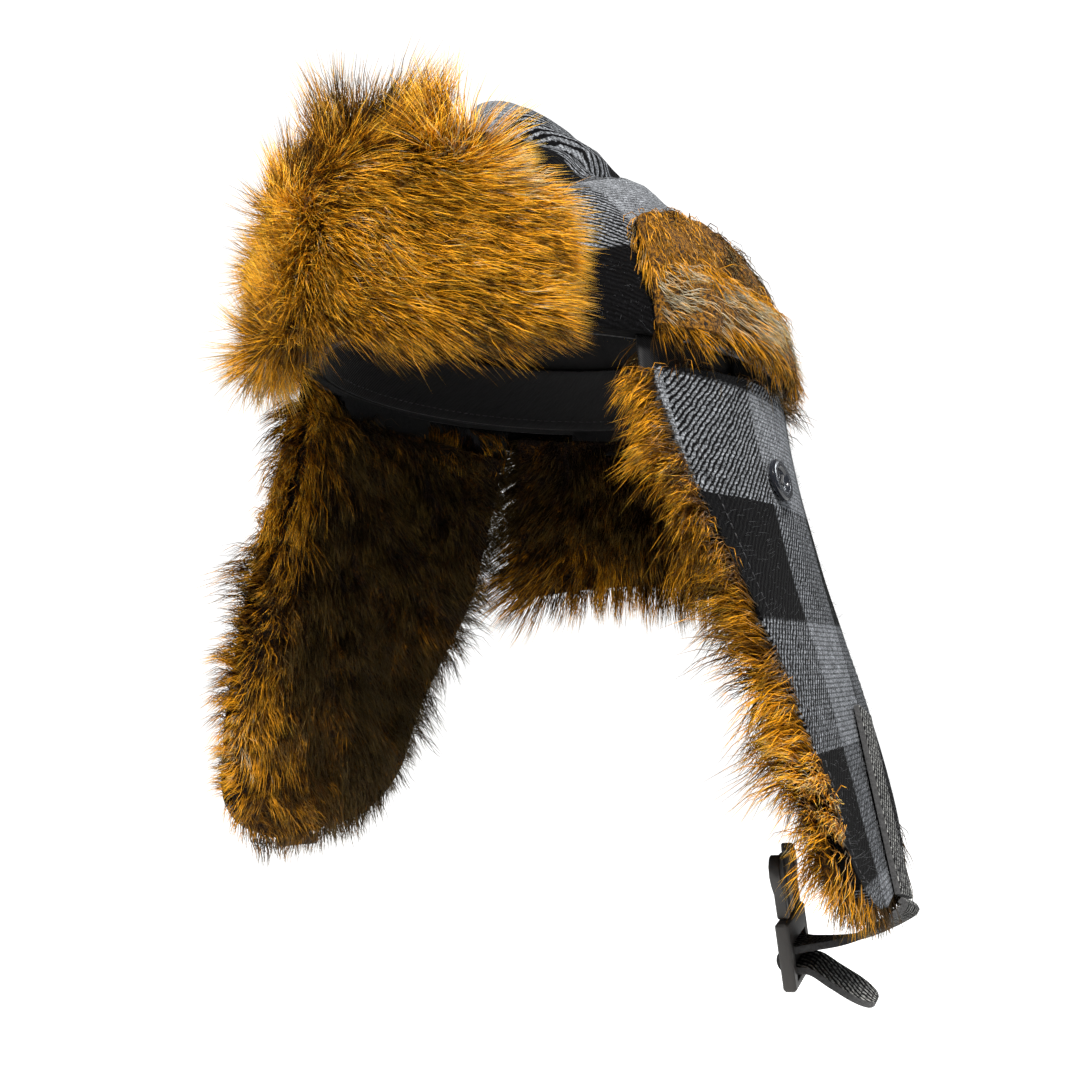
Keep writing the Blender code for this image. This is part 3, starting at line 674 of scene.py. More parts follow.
def growFur(name, surface, spec, body, seed):
    draw = np.random.default_rng(seed)
    count = spec["count"]
    s0, s1, t0, t1 = spec.get("within", (0, 1, 0, 1))
    s = s0 + (s1 - s0) * draw.random(count)
    t = t0 + (t1 - t0) * draw.random(count)
    out = spec["out"] * mm * np.ones(count)
    # some grow on the rim itself: front or first end, far end, bottom, top
    rims = np.array(spec.get("rims", (0, 0, 0, 0)), float)
    onRim = np.digitize(draw.random(count), np.cumsum(rims))
    rimOut = out
    if "rimOut" in spec:
        nearest, farthest = spec["rimOut"]
        rimOut = (nearest + (farthest - nearest) * draw.random(count)) * mm
    inset = 0.012 * draw.random(count)
    s = np.where(onRim == 0, s0 + inset, np.where(onRim == 1, s1 - inset, s))
    t = np.where(onRim == 2, t0 + inset, np.where(onRim == 3, t1 - inset, t))
    out = np.where(onRim < 4, rimOut, out)
    here, normal, acrossWay, upWay = onSurface(surface, s, t)
    normal = normal * spec.get("inside", 1)
    roots = here + normal * out[:, None]
    face = normal
    rimWay = np.select(
        [(onRim == rim)[:, None] for rim in range(4)],
        [-acrossWay, acrossWay, -upWay, upWay], 0 * upWay)
    normal = np.where((onRim < 4)[:, None], unit(rimWay - normal * spec.get("curl", 0.3)), normal)
    # near an edge the hair leans over it
    width, height = surface["size"]
    reach = spec.get("edge", 9) * mm
    lean = np.zeros_like(normal)
    edges = spec.get("edges", (1, 1, 1, 1))
    for strength, distance, way in (
        (edges[0], (s - s0) * width, -acrossWay),
        (edges[1], (s1 - s) * width, acrossWay),
        (edges[2], (t - t0) * height, -upWay),
        (edges[3], (t1 - t) * height, upWay),
    ):
        lean += strength * way * (1 - ease(distance / reach))[:, None]
    flow, lift, mess, size, tone = spec["habit"](s, t, here)
    clumps = max(8, int(count / spec["perClump"]))
    tree = kdtree.KDTree(clumps)
    for index in range(clumps):
        tree.insert(roots[index], index)
    tree.balance()
    owner = np.array([tree.find(root)[1] for root in roots])
    swirl = spec.get("swirl", 38)
    drift = np.array([noise.noise_vector(Vector(root) * swirl + Vector((seed, 0, 0))) for root in roots[:clumps]])
    clumpWay = unit(draw.normal(size=(clumps, 3))) * 0.55 + drift * 1.8
    clumpSize = 0.7 + 0.6 * draw.random(clumps)
    jitter = draw.normal(size=(count, 3))
    shortness = 1 - 0.6 * draw.random(count) ** 1.6
    length = spec["length"] * mm * size * clumpSize[owner] * shortness
    mess, lift = np.asarray(mess)[:, None], np.asarray(lift)[:, None]
    stray = spec.get("stray", 0.16)
    startWay = unit(
        normal * (spec.get("upright", 0.3) + lift) + flow * 0.5 + lean * 0.9 + clumpWay[owner] * mess * 0.5
        + jitter * 0.16)
    endWay = unit(
        normal * lift * 0.4 + flow * 1.1 + lean * 0.4 + clumpWay[owner] * mess + jitter * stray
        - up * spec["droop"])
    b = roots + startWay * (length * 0.42)[:, None]
    c = b + endWay * (length * 0.62)[:, None]
    offset = roots - roots[owner]
    offset *= np.minimum(1, 6 * mm / np.maximum(np.linalg.norm(offset, axis=1), 1e-9))[:, None]
    pull = spec["pull"] * (0.4 + 0.6 * draw.random(count))[:, None]
    c = c - offset * pull  # the tips of a lock draw together
    b = b - offset * pull * 0.35
    # no hair goes back through the cloth that it grows on, nor far past the hat
    flat = onRim == 4
    for ends, least in ((b, 0.6 * mm), (c, -0.4 * mm)):
        rise = np.sum((ends - roots) * face, axis=-1)
        ends += face * np.where(flat & (rise < least), least - rise, 0)[:, None]
    lowest, highest = np.array(cadBox[0]) - furReach, np.array(cadBox[1]) + furReach
    b, c = np.clip(b, lowest, highest), np.clip(c, lowest, highest)
    lockWave = unit(draw.normal(size=(clumps, 3)))[owner] * 0.6 + draw.normal(size=(count, 3)) * 0.35
    wave = lockWave * (length * spec.get("wavy", 0.07))[:, None]
    chance = draw.random(count)
    tone = np.clip(tone + spec.get("toneSpread", 0.34) * (draw.random(clumps)[owner] - 0.5), -0.2, 1)
    thick = spec["width"] * mm * (0.6 + 0.8 * draw.random(count))
    for part in range(math.ceil(count / strandsPerPiece)):
        pick = slice(part * strandsPerPiece, min((part + 1) * strandsPerPiece, count))
        bend = (roots[pick], b[pick], c[pick])
        strandMesh(
            f"{name}{part + 1}", bend, wave[pick], thick[pick], chance[pick], tone[pick],
            spec.get("material", furMaterial), body)


stitchLook = {"pitch": 3.4, "length": 2.5, "thick": 0.45, "lie": 0.1}


def sewRow(bm, points, normals):
    points, normals = np.array(points), np.array(normals)
    walked = np.concatenate(([0], np.cumsum(np.linalg.norm(np.diff(points, axis=0), axis=1))))
    pitch = stitchLook["pitch"] * mm
    half = (stitchLook["length"] / 2 * mm, stitchLook["thick"] / 2 * mm, stitchLook["thick"] / 2 * mm)
    for step in range(int(walked[-1] / pitch)):
        places = [np.array([np.interp((step + share) * pitch, walked, points[:, axis]) for axis in range(3)])
                  for share in (0.3, 0.5, 0.7)]
        along = Vector(places[2] - places[0]).normalized()
        normal = Vector([np.interp((step + 0.5) * pitch, walked, normals[:, axis]) for axis in range(3)])
        normal = (normal - along * normal.dot(along)).normalized()
        turned = turnedTo(along, normal.cross(along), normal)
        place = Matrix.Translation(Vector(places[1]) + normal * stitchLook["lie"] * mm) @ turned
        bmesh.ops.create_icosphere(bm, subdivisions=1, radius=1, matrix=place @ Matrix.Diagonal((*half, 1)))


def sewAlong(name, rows, body):
    bm = bmesh.new()
    for points, normals in rows:
        sewRow(bm, points, normals)
    settle(addMesh(name, bm, [threadMaterial]), body)


def rowOn(surface, corners, out, inward=False):
    # a row of stitches through corners given as shares of a surface
    shares = np.concatenate([
        np.linspace(first, second, 30, endpoint=False) for first, second in zip(corners[:-1], corners[1:])])
    here, normal, acrossWay, upWay = onSurface(surface, shares[:, 0], shares[:, 1])
    return here + normal * out * mm, -normal if inward else normal


def growFuzz(name, surface, count, within, body, seed):
    growFur(
        name, surface,
        {"count": count, "out": 0.0, "length": 3.4, "perClump": 3, "droop": 0.05, "pull": 0.1, "width": 0.045,
         "habit": lambda s, t, here: (0 * here, 0.55 + 0 * s, 0.9 + 0 * s, 1 + 0 * s, 0.5 + 0 * s),
         "edge": 2, "edges": (0.4, 0.4, 0.4, 0.4), "within": within, "material": fuzzMaterial,
         "slot": "plaid_wool"},
        body, seed)


woolGroup = makeWoolGroup()
furGroup = makeFurGroup()
furMaterial = makeFurMaterial("goldenFur")
peltMaterial = makePeltMaterial("furPelt")
flapWool = makeWool("flapWool", shift=(0.059, 0.029, 0))
crownWool = makeWool("crownWool", twill=0.0030, shift=(0.098, 0.069, 0), check=0.048)
visorWool = makeWool("visorWool", light=(0.03, 0.031, 0.034, 1))
# a near-black copy of the plaid: painted shade for the outer fold strips and the tapes, which lie in shadow gaps
foldShadeWool = makeWool("foldShadeWool", light=(0.02, 0.02, 0.022, 1))
neckWool = makeWool("neckWool", shift=(0.01, 0.01, 0))
strapWool = makeWool("strapWool", twill=0.0030, shift=(0.1, 0.45, 0), light=(0.17, 0.17, 0.165, 1), check=0.4)
liningSatin = makeSatin("liningSatin", (0.005, 0.005, 0.006), 0.0009)
bandTwill = makeSatin("bandTwill", (0.009, 0.009, 0.010), 0.0016)
bucklePlastic = makePlastic("bucklePlastic", (0.014, 0.012, 0.011), 0.34, 0.55, 2400.0, 0.00008)
buttonPlastic = makePlastic("buttonPlastic", (0.006, 0.007, 0.010), 0.12, 0.24, 500.0, 0.00003, coat=0.6)
threadMaterial = makeFiber("waxedThread", (0.03, 0.03, 0.035), 3000.0)
strapEdge = makeFiber("strapEdge", (0.06, 0.06, 0.062), 1100.0)
fuzzMaterial = makeFiber("woolFuzz", (0.10, 0.105, 0.115), 900.0)
battingMaterial = makeFiber("woolBatting", (0.20, 0.19, 0.17), 700.0)
stiffenerMaterial = makeFiber("buckram", (0.5, 0.47, 0.40), 1500.0)
print("materials made")
makeCamera()
makeStage()
print("camera and stage set")


# crown: three panels over wadding and a quilted lining
folds = {"seam": 5.0, "seamX": 38, "crease": 7.0, "wrinkle": 1.5, "ripple": 0.6}


def crownFold(angle, rise, x):
    # how far the soft cloth sinks in, in millimetres
    seam = np.exp(-((np.abs(x) - folds["seamX"]) / 6.0) ** 2) * ease((rise - 0.30) / 0.35) * folds["seam"]
    arch = rise - 0.80 + 0.14 * np.cos(angle - 0.3)
    crease = np.exp(-(arch / 0.045) ** 2) * folds["crease"] * ease((np.cos(angle + 0.6) + 0.3) / 0.8)
    return seam + crease


def domePiece(name, node, keep, depth, thick, material, relief=None, detail=(168, 96), hemCut=None):
    bm = bmesh.new()
    bmesh.ops.create_uvsphere(bm, u_segments=detail[0], v_segments=detail[1], radius=1)
    bmesh.ops.delete(bm, geom=[vert for vert in bm.verts if vert.co.z < -0.001], context="VERTS")
    ball = np.array([vert.co for vert in bm.verts])
    angle = np.arctan2(ball[:, 1], ball[:, 0])
    rise = np.clip(ball[:, 2], 0, 1)
    plain = crownAt(angle, rise)
    fold = crownFold(angle, rise, plain[:, 0] / mm)
    wrinkle = noiseField(plain, 42.0, 3, (1, 1, 1.6)) * folds["wrinkle"] * ease((rise - 0.05) / 0.3)
    wrinkle += noiseField(plain, 110.0, 5) * folds["ripple"] * ease((rise - 0.05) / 0.3)
    sink = (fold + wrinkle) * mm
    moveVerts(bm, plain)
    bm.normal_update()
    for number, vert in enumerate(bm.verts):
        extra = relief(angle[number], rise[number], vert.co) if relief else 0
        vert.co = vert.co - vert.normal * (depth * mm + sink[number] + extra)
    if hemCut:
        low = [vert for vert in bm.verts if vert.co.z < hemCut * mm]
        bmesh.ops.delete(bm, geom=low, context="VERTS")
    for planeX, sign in keep:
        geometry = bm.verts[:] + bm.edges[:] + bm.faces[:]
        bmesh.ops.bisect_plane(
            bm, geom=geometry, plane_co=(planeX * mm, 0, 0), plane_no=(sign, 0, 0), clear_inner=True)
    cloth = bm.loops.layers.uv.new("cloth")
    side = name.startswith(("crownLeft", "crownRight"))
    for face in bm.faces:
        for loop in face.loops:
            x, y, z = loop.vert.co
            lie = math.atan2(z + 0.02, abs(x) if side else y) * 0.11
            loop[cloth].uv = (y if side else x, lie)
    bm.normal_update()
    piece = addMesh(name, bm, [material])
    addWall(piece, thick * mm)
    addRound(piece, 0.5 * mm)
    return settle(piece, "crown", node)


def quilting(angle, rise, co):
    # diamonds of stitching press the lining in towards the wadding
    a, b = angle * 95 / 30, rise * 126 / 30
    deep = min(abs(math.sin(math.pi * (a + b) * 0.5)), abs(math.sin(math.pi * (a - b) * 0.5)))
    return 0.0014 * deep ** 0.5 - 0.0008


panelTrees = []
for name, node, keep in (
    ("crownLeftPanel", "crown_left_panel", ((38.15, 1),)),
    ("crownCentrePanel", "crown_center_panel", ((37.85, -1), (-37.85, 1))),
    ("crownRightPanel", "crown_right_panel", ((-38.15, -1),)),
):
    mesh = domePiece(name, node, keep, 0, 2.0, crownWool).data
    corners = [tuple(face.vertices) for face in mesh.polygons]
    panelTrees.append(BVHTree.FromPolygons([vert.co for vert in mesh.vertices], corners))


def seamRow(x):
    points, normals = [], []
    for y in np.arange(-98, 98, 1.5):
        hits = [tree.ray_cast(Vector((x, y, 200)) * mm, Vector((0, 0, -1))) for tree in panelTrees]
        hits = [hit for hit in hits if hit[0] and hit[0].z > 3 * mm]
        if hits:
            place, normal = max(hits, key=lambda hit: hit[0].z)[:2]
            points.append(place)
            normals.append(normal if normal.z > 0 else -normal)
    return points, normals


sewAlong("crownSeamStitches", [seamRow(x) for x in (-41, -35, 35, 41)], "crown")
batting = domePiece(
    "crownWadding", "crown_wadding", (), 2.3, 4.0, battingMaterial, detail=(96, 56), hemCut=7)
domePiece("crownLining", "crown_lining", (), 6.6, 1.2, liningSatin, relief=quilting)
surfaces["hem"] = {
    "at": lambda s, t: crownAt(2 * math.pi * s, 2.6 / crown["height"] + 0 * s, 1.6 + 7.0 * t),
    "toward": lambda p: 0 * p - up, "size": (0.6, 0.008), "closed": True,
}
layCloth(
    "crownHemTape", surfaces["hem"], {"grid": (200, 5), "wall": (0, 1.2 * mm)}, liningSatin, "crown")
layCloth(
    "sweatBand", surfaces["band"], {"grid": (240, 14), "wall": (-1.9 * mm, -0.3 * mm), "round": 0.4 * mm},
    bandTwill, "crown", "headband")
sewAlong("bandStitches", [rowOn(surfaces["band"], ((0, 0.14), (1, 0.14)), -1.95, inward=True)], "crown")
surfaces["dome"] = {
    "at": lambda s, t: crownAt(2 * math.pi * s, 0.01 + 0.97 * t), "toward": lambda p: p - np.array((0, 0, -0.05)),
    "size": (0.5, 0.2), "closed": True,
}
growFuzz("crownFuzz", surfaces["dome"], 1800, (0, 1, 0, 0.34), "crown", 5)
print("crown made")


# visor
def lumps(depth, scale, seed):
    return lambda s, t, here: noiseField(here, scale, seed) * depth * mm


layCloth(
    "visorFacing", surfaces["visor"],
    {"grid": (110, 48), "wall": (0, 2 * mm), "round": 0.5 * mm, "within": (0, 0.89, 0, 1)},
    visorWool, "visor", "visor_facing")
layCloth(
    "visorStiffener", surfaces["visor"],
    {"grid": (60, 24), "wall": (2.3 * mm, 3.8 * mm), "within": (0.02, 0.875, 0.03, 0.96)},
    stiffenerMaterial, "visor", "visor_stiffener")
layCloth(
    "visorPelt", surfaces["visor"],
    {"grid": (90, 40), "wall": (4.1 * mm, 7.5 * mm), "relief": lumps(2.5, 120.0, 1), "round": 1.2 * mm,
     "tone": lambda s, t: 0.50 - 0.10 * s, "within": (0, 0.88, 0, 1)},
    peltMaterial, "visor", "visor_fur")


def visorHabit(s, t, here):
    crest = ease((t - 0.68) / 0.22) * ease((0.80 - s) / 0.14)  # the top stands up in tufts
    side = (ease((s - 0.20) / 0.25) * (1 - 0.9 * crest))[:, None]  # 0 on the wearer's right, 1 on the left
    steep = ease((0.75 - s) / 0.4)[:, None]
    angle = math.radians(45) * (2 * s - 1)
    along = np.stack((np.cos(angle), np.sin(angle), 0 * s), -1)
    swept = along - up * (0.22 + 0.34 * steep)
    hang = ease((0.13 - s) / 0.10)[:, None]
    messy = up * (1.0 * t[:, None] - 0.15) * (1 - hang) - up * 0.5 * hang - along * 0.12
    flow = swept * side + messy * (1 - side)
    lift = 0.02 + 0.34 * (1 - side[:, 0])
    mess = 0.24 + 0.56 * (1 - side[:, 0])
    size = 1.0 - 0.34 * ease((s - 0.62) / 0.3) - 0.22 * ease((0.36 - s) / 0.2) * (1 - hang[:, 0])
    size = size + 0.12 * crest * np.exp(-((s - 0.57) / 0.10) ** 2)
    pale = ease((t - 0.62) / 0.3) * ease((s - 0.55) / 0.15) * 0.42
    tone = 0.47 + pale * 0.6 + 0.28 * ease((0.16 - s) / 0.12) * ease((0.6 - t) / 0.3) - 0.16 * crest
    # painted shade: hair rooted along the bottom edge is darkened where it hangs over the dark inside
    tone = tone - 0.22 * ease((0.10 - t) / 0.10) * side[:, 0]
    return flow, lift, mess, size, tone


growFur(
    "visorFur", surfaces["visor"],
    {"count": 31000, "out": 6.0, "length": 22, "perClump": 22, "droop": 0.08, "pull": 0.6, "width": 0.19,
     "habit": visorHabit, "edge": 8, "edges": (0.5, 0.0, 0.45, 0.35), "within": (0, 0.868, 0, 0.95),
     "upright": 0.16, "rims": (0.03, 0.04, 0.05, 0.04), "rimOut": (0.5, 6.0), "curl": 0.15, "wavy": 0.11,
     "stray": 0.13, "swirl": 55},
    "visor", 11)
print("visor made")


# cuff
layCloth(
    "cuffBacking", surfaces["cuff"], {"grid": (200, 12), "wall": (1.5 * mm, 2.7 * mm), "round": 0.3 * mm},
    visorWool, "crown", "cuff_backing")
layCloth(
    "cuffPelt", surfaces["cuff"],
    {"grid": (200, 20), "wall": (3.0 * mm, 5.5 * mm), "relief": lumps(2.0, 110.0, 4), "round": 1.0 * mm,
     "tone": lambda s, t: 0.5 + 0 * s},
    peltMaterial, "crown", "cuff_fur")


def cuffHabit(s, t, here):
    angle = math.radians(-36) + math.radians(252) * s
    along = np.stack((-np.sin(angle), np.cos(angle), 0 * s), -1)
    low = ease((0.62 - t) / 0.30)[:, None]
    flow = -up * (1 - 0.55 * low) + along * (1.0 * low + 0.05)
    lift = 0.12 + 0.10 * low[:, 0]
    mess = 0.16 + 0.40 * low[:, 0]
    size = 1.0 - 0.25 * low[:, 0]
    dark = np.exp(-((s - 0.185) / 0.065) ** 2) + 0.5 * np.exp(-((s - 0.105) / 0.018) ** 2)
    dark = dark + 0.4 * np.sin(40 * s) ** 8
    tone = 0.52 + 0.50 * low[:, 0] - 0.50 * dark * (1 - low[:, 0]) - 0.72 * ease((0.18 - t) / 0.18)
    return flow, lift, mess, size, tone


growFur(
    "cuffFur", surfaces["cuff"],
    {"count": 20500, "out": 4.2, "length": 18, "perClump": 24, "droop": 0.3, "pull": 0.7, "width": 0.23,
     "habit": cuffHabit, "edge": 7, "edges": (0.4, 0.4, 0.3, 0.5), "rims": (0.01, 0.01, 0.06, 0.05),
     "rimOut": (2.0, 4.5), "curl": 0.1},
    "crown", 21)
print("cuff made")


# ear flaps and neck flap
def flapHabit(s, t, here):
    front = ease((0.30 - s) / 0.30)[:, None]
    rear = ease((s - 0.70) / 0.30)[:, None]
    flow = -up * 0.85 + np.array((0, -1.0, 0)) * (0.75 * front - 0.15) + np.array((0, 0.35, 0)) * rear
    lift = 0.30 + 0.25 * front[:, 0]
    mess = 0.55 + 0 * s
    size = 1.0 + front[:, 0] * np.where(here[:, 0] < 0, 0.25 - 0.55 * t, 0.12)
    size = size - 0.35 * ease((t - 0.86) / 0.14)
    # painted shade: inside the flap the fur is darkened up top and towards the back, gold only along the front edge
    # and the bottom; the sine adds a little tone variation
    tone = 0.40 * ease((0.26 - s) / 0.24) + 0.22 * ease((t - 0.55) / 0.45) * ease((0.85 - s) / 0.4) - 0.06
    tone = tone + 0.07 * np.sin(9 * t + 4 * s)
    return flow, lift, mess, size, tone


def makeFlap(side, wool, look, fuzzSeed, furSeed):
    surface, body = surfaces[side], f"{side}_flap"
    layCloth(
        f"{side}FlapShell", surface,
        {"wall": (-1.6 * mm, 0), "lip": -4.6 * mm, "round": 0.7 * mm, **look["shell"]},
        wool, body, f"{side}_flap_shell")
    sewAlong(f"{side}FlapStitches", [rowOn(surface, look["stitches"], 0.0)], body)
    growFuzz(f"{side}FlapFuzz", surface, look["fuzz"], (0, 1, 0, 1), body, fuzzSeed)
    stuffing = layCloth(
        f"{side}FlapWadding", surface, {"wall": (-5.0 * mm, -2.4 * mm), **look["wadding"]},
        battingMaterial, body, f"{side}_flap_wadding")
    layCloth(
        f"{side}FlapPelt", surface,
        # the pelt is painted darker towards the top, painted shade inside the hat
        {"wall": (-9.0 * mm, -5.4 * mm), "round": 1.2 * mm, "tone": lambda s, t: 0.10 + 0.2 * t, **look["pelt"]},
        peltMaterial, body, f"{side}_flap_fur")
    growFur(
        f"{side}FlapFur", surface,
        {"out": 8.0, "inside": -1, "perClump": 24, "pull": 0.7, "width": 0.21, "edge": 12, **look["fur"]},
        body, furSeed)


def makeEarFlap(side, rear, seed):
    look = {
        "shell": {"grid": (64, 96), "relief": lumps(0.5, 34.0, seed)},
        "stitches": ((0.055, 0.02), (0.055, 0.965), (0.945, 0.965), (0.945, 0.02)),
        "fuzz": 1600,
        "wadding": {"grid": (40, 60), "within": (0.05, 0.95, 0.03, 0.97)},
        "pelt": {"grid": (50, 70), "relief": lumps(0.1, 90.0, seed + 1)},
        "fur": {
            "count": 16000, "length": 21, "droop": 0.35, "habit": flapHabit, "edges": (1.2, 0.8 * rear, 0.3, 0.5),
            "rims": (0.17, 0.07 * rear, 0.03, 0.05), "rimOut": (-0.3, 8.5), "curl": 0.45, "wavy": 0.19,
            "within": (0, 0.95 + 0.05 * rear, 0, 1)},
    }
    makeFlap(side, flapWool, look, seed + 5, seed + 2)
    makeGusset(side, "Front", (0.0, 0.31), 650, seed + 3)
    makeGusset(side, "Rear", (0.69, 1.0), 550, seed + 4)


def gussetAt(side, ends, s, t):
    # from behind the flap's top corner up to the crown's hem
    y = flapAt(side, ends[0] + (ends[1] - ends[0]) * s, 0 * t)[:, 1] / mm
    low = flapPoint(side, y, flapTop(y) + 5)
    high = np.stack((sideSign[side] * hemX(y), y, 0 * y + 0.7), -1) * mm
    share = t[:, None]
    return low * (1 - share) + high * share - np.array((sideSign[side] * 5.0 * mm, 0, 0))


def gussetHabit(s, t, here):
    flow = -up * 1.0 + 0 * here
    return flow, 0.3 + 0 * s, 0.6 + 0 * s, 0.8 + 0 * s, 0.22 + 0 * s


def makeGusset(side, end, ends, hairs, seed):
    surface = {
        "at": lambda s, t: gussetAt(side, ends, s, t), "toward": surfaces[side]["toward"], "size": (0.04, 0.016),
    }
    layCloth(
        f"{side}Gusset{end}", surface, {"grid": (20, 12), "wall": (-1.0 * mm, 0)},
        liningSatin, f"{side}_flap")
    growFur(
        f"{side}Gusset{end}Fur", surface,
        {"count": hairs, "out": 1.0, "inside": -1, "length": 17, "perClump": 24, "droop": 0.3, "pull": 0.6,
         "width": 0.25, "habit": gussetHabit, "edge": 3, "edges": (0.5, 0.5, 0, 0), "wavy": 0.12},
        f"{side}_flap", seed)


makeEarFlap("left", 0.0, 31)
makeEarFlap("right", 1.0, 41)


def neckHabit(s, t, here):
    sideways = np.array((1.0, 0, 0)) * (2 * s - 1)[:, None] ** 3
    flow = -up * 0.9 + sideways * 1.2
    end = ease((np.abs(2 * s - 1) - 0.75) / 0.25)
    # painted shade: the neck fur is darker towards the top, inside the hat, and golden lower down
    return flow, 0.28 + 0 * s, 0.5 + 0 * s, 1.0 + 0.6 * end, 0.42 * ease((t - 0.40) / 0.5) - 0.06


neckLook = {
    "shell": {"grid": (80, 60)},
    "stitches": ((0.04, 0.04), (0.04, 0.93), (0.96, 0.93), (0.96, 0.04)),
    "fuzz": 900,
    "wadding": {"grid": (40, 30), "within": (0.08, 0.92, 0.06, 0.94)},
    "pelt": {"grid": (70, 40)},
    "fur": {
        "count": 10000, "length": 20, "droop": 0.3, "habit": neckHabit, "edges": (1.0, 1.0, 0.3, 1),
        "within": (0.03, 0.97, 0, 1), "rims": (0.15, 0.12, 0.03, 0.08), "rimOut": (0, 8), "curl": 0.0,
        "wavy": 0.10},
}
makeFlap("neck", neckWool, neckLook, 57, 51)
print("flaps made")


# soft folds that join each flap to the crown's hem
def foldPiece(name, at, toward, size, material):
    surface = {"at": at, "toward": toward, "size": size}
    strip = layCloth(name, surface, {"grid": (60, 16), "wall": (-1.0 * mm, 0)}, material)
    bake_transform(strip)


def earFoldAt(side, depth, s, t):
    y = flapAt(side, 0.28 + 0.44 * s, 0 * t)[:, 1] / mm
    down = -5 + 19 * t
    x = flapX(math.radians(flapCut["splay"][side]), y, np.maximum(down, 0)) - depth
    return np.stack((sideSign[side] * x, y, -down), -1) * mm


def neckFoldAt(depth, s, t):
    x = 34 * (2 * s - 1)
    return np.stack((x, hemY(x) - depth, 4 - 14 * t), -1) * mm


# the outer fold strips wear the near-black plaid, painted shade in the gap under the cuff
foldLayers = (("Outer", 2.1, foldShadeWool, "plaid_wool"), ("Inner", 7.4, liningSatin, "quilted_lining"))
for side in ("left", "right"):
    for layer, depth, material, slotName in foldLayers:
        foldPiece(
            f"{side}Fold{layer}", lambda s, t: earFoldAt(side, depth, s, t), surfaces[side]["toward"],
            (0.13, 0.019), material)
for layer, depth, material, slotName in foldLayers:
    foldPiece(
        f"neckFold{layer}", lambda s, t: neckFoldAt(depth, s, t), fromAxis, (0.12, 0.014), material)


def neckTapeAt(s, t):
    x = 64 * (2 * s - 1)
    return np.stack((x, hemY(x) - 4, 0.9 - 9 * t), -1) * mm


def visorTapeAt(s, t):
    return browAt(math.radians(45) * (1.78 * s - 1), 4.0 - 6.0 * t, 0.8 * t - 1.8)


# the tapes wear the near-black plaid too, painted shade along the brow and the neck hem
for name, at, toward, body in (
    ("neckTape", neckTapeAt, fromAxis, "neck_flap"),
    ("visorTape", visorTapeAt, lambda p: 0 * p - up, "visor"),
):
    surface = {"at": at, "toward": toward, "size": (0.12, 0.008)}
    layCloth(name, surface, {"grid": (80, 6), "wall": (-0.8 * mm, 0)}, foldShadeWool, body)
print("folds made")


# straps
strapCut = {"width": 18, "thick": 2.2, "from": 126, "to": 188, "topY": 20, "lowY": 4, "out": 1.8, "gap": 1.5,
            "stitchOut": 6.6}
sewnAcross = Vector((0, strapCut["to"] - strapCut["from"], strapCut["lowY"] - strapCut["topY"])).normalized()


def flapFrame(side, y, down, out):
    here = Vector(flapPoint(side, y, down))
    upWay = (Vector(flapPoint(side, y, down - 2)) - Vector(flapPoint(side, y, down + 2))).normalized()
    along = (Vector(flapPoint(side, y + 2, down)) - Vector(flapPoint(side, y - 2, down))).normalized()
    normal = along.cross(upWay).normalized() * sideSign[side]
    across = upWay.cross(normal)
    return Matrix.Translation(here + normal * out * mm) @ turnedTo(across, upWay, normal)


def frameOf(origin, across, along):
    across, along = Vector(across).normalized(), Vector(along)
    along = (along - across * along.dot(across)).normalized()
    return Matrix.Translation(Vector(origin)) @ turnedTo(across, along, across.cross(along))


maleFrame = frameOf(Vector((112, -12, -200)) * mm, (0.10, -0.98, -0.08), (-0.14, 0, 1))
femaleFrame = flapFrame("right", 10, strapCut["to"] - 48, 10)
loopRadius = 3.2


def roundBar(place, startDeg, endDeg, steps=8):
    turns = [math.radians(startDeg + (endDeg - startDeg) * step / steps) for step in range(steps + 1)]
    return [place @ (Vector((0, math.cos(turn), math.sin(turn))) * loopRadius * mm) for turn in turns]


def strapPiece(name, path, startAcross, endAcross, body, node, roundEnd=False):
    # the ribbon's width turns from one direction to the other over its first few points
    points = np.array(path)
    shares = np.clip((np.arange(len(points)) - 1) / 3, 0, 1)
    acrosses = unit(np.array([startAcross.lerp(endAcross, share) for share in shares]))
    lengths = np.concatenate(([0], np.cumsum(np.linalg.norm(np.diff(points, axis=0), axis=1))))
    total = lengths[-1]
    rows = max(24, int(total / (0.7 * mm)))

    def smoothAt(values, where):
        index = np.clip(np.searchsorted(lengths, where) - 1, 0, len(values) - 2)
        share = ((where - lengths[index]) / (lengths[index + 1] - lengths[index]))[:, None]
        before, after = np.maximum(index - 1, 0), np.minimum(index + 2, len(values) - 1)
        p0, p1, p2, p3 = values[before], values[index], values[index + 1], values[after]
        return 0.5 * (2 * p1 + (p2 - p0) * share + (2 * p0 - 5 * p1 + 4 * p2 - p3) * share ** 2
                      + (3 * p1 - p0 - 3 * p2 + p3) * share ** 3)

    bm = bmesh.new()
    bmesh.ops.create_grid(bm, x_segments=14, y_segments=rows, size=0.5)
    plain = np.array([vert.co for vert in bm.verts])
    s, t = plain[:, 0] + 0.5, plain[:, 1] + 0.5
    where = t * total
    centre, across = smoothAt(points, where), unit(smoothAt(acrosses, where))
    half = strapCut["width"] / 2 * mm * np.ones_like(t)
    if roundEnd:
        left = np.clip(1 - (total - where) / (9 * mm), 0, 0.98)
        half = half * np.sqrt(1 - left ** 2)
    moveVerts(bm, centre + across * ((2 * s - 1) * half)[:, None])
    cloth = bm.loops.layers.uv.new("cloth")
    for face in bm.faces:
        for loop in face.loops:
            index = loop.vert.index
            loop[cloth].uv = (s[index] * strapCut["width"] * mm, t[index] * total)
    piece = addMesh(name, bm, [strapWool, strapEdge])
    addWall(piece, strapCut["thick"] * mm, 0).material_offset_rim = 1
    addRound(piece, 0.7 * mm, 3)
    settle(piece, body, node)


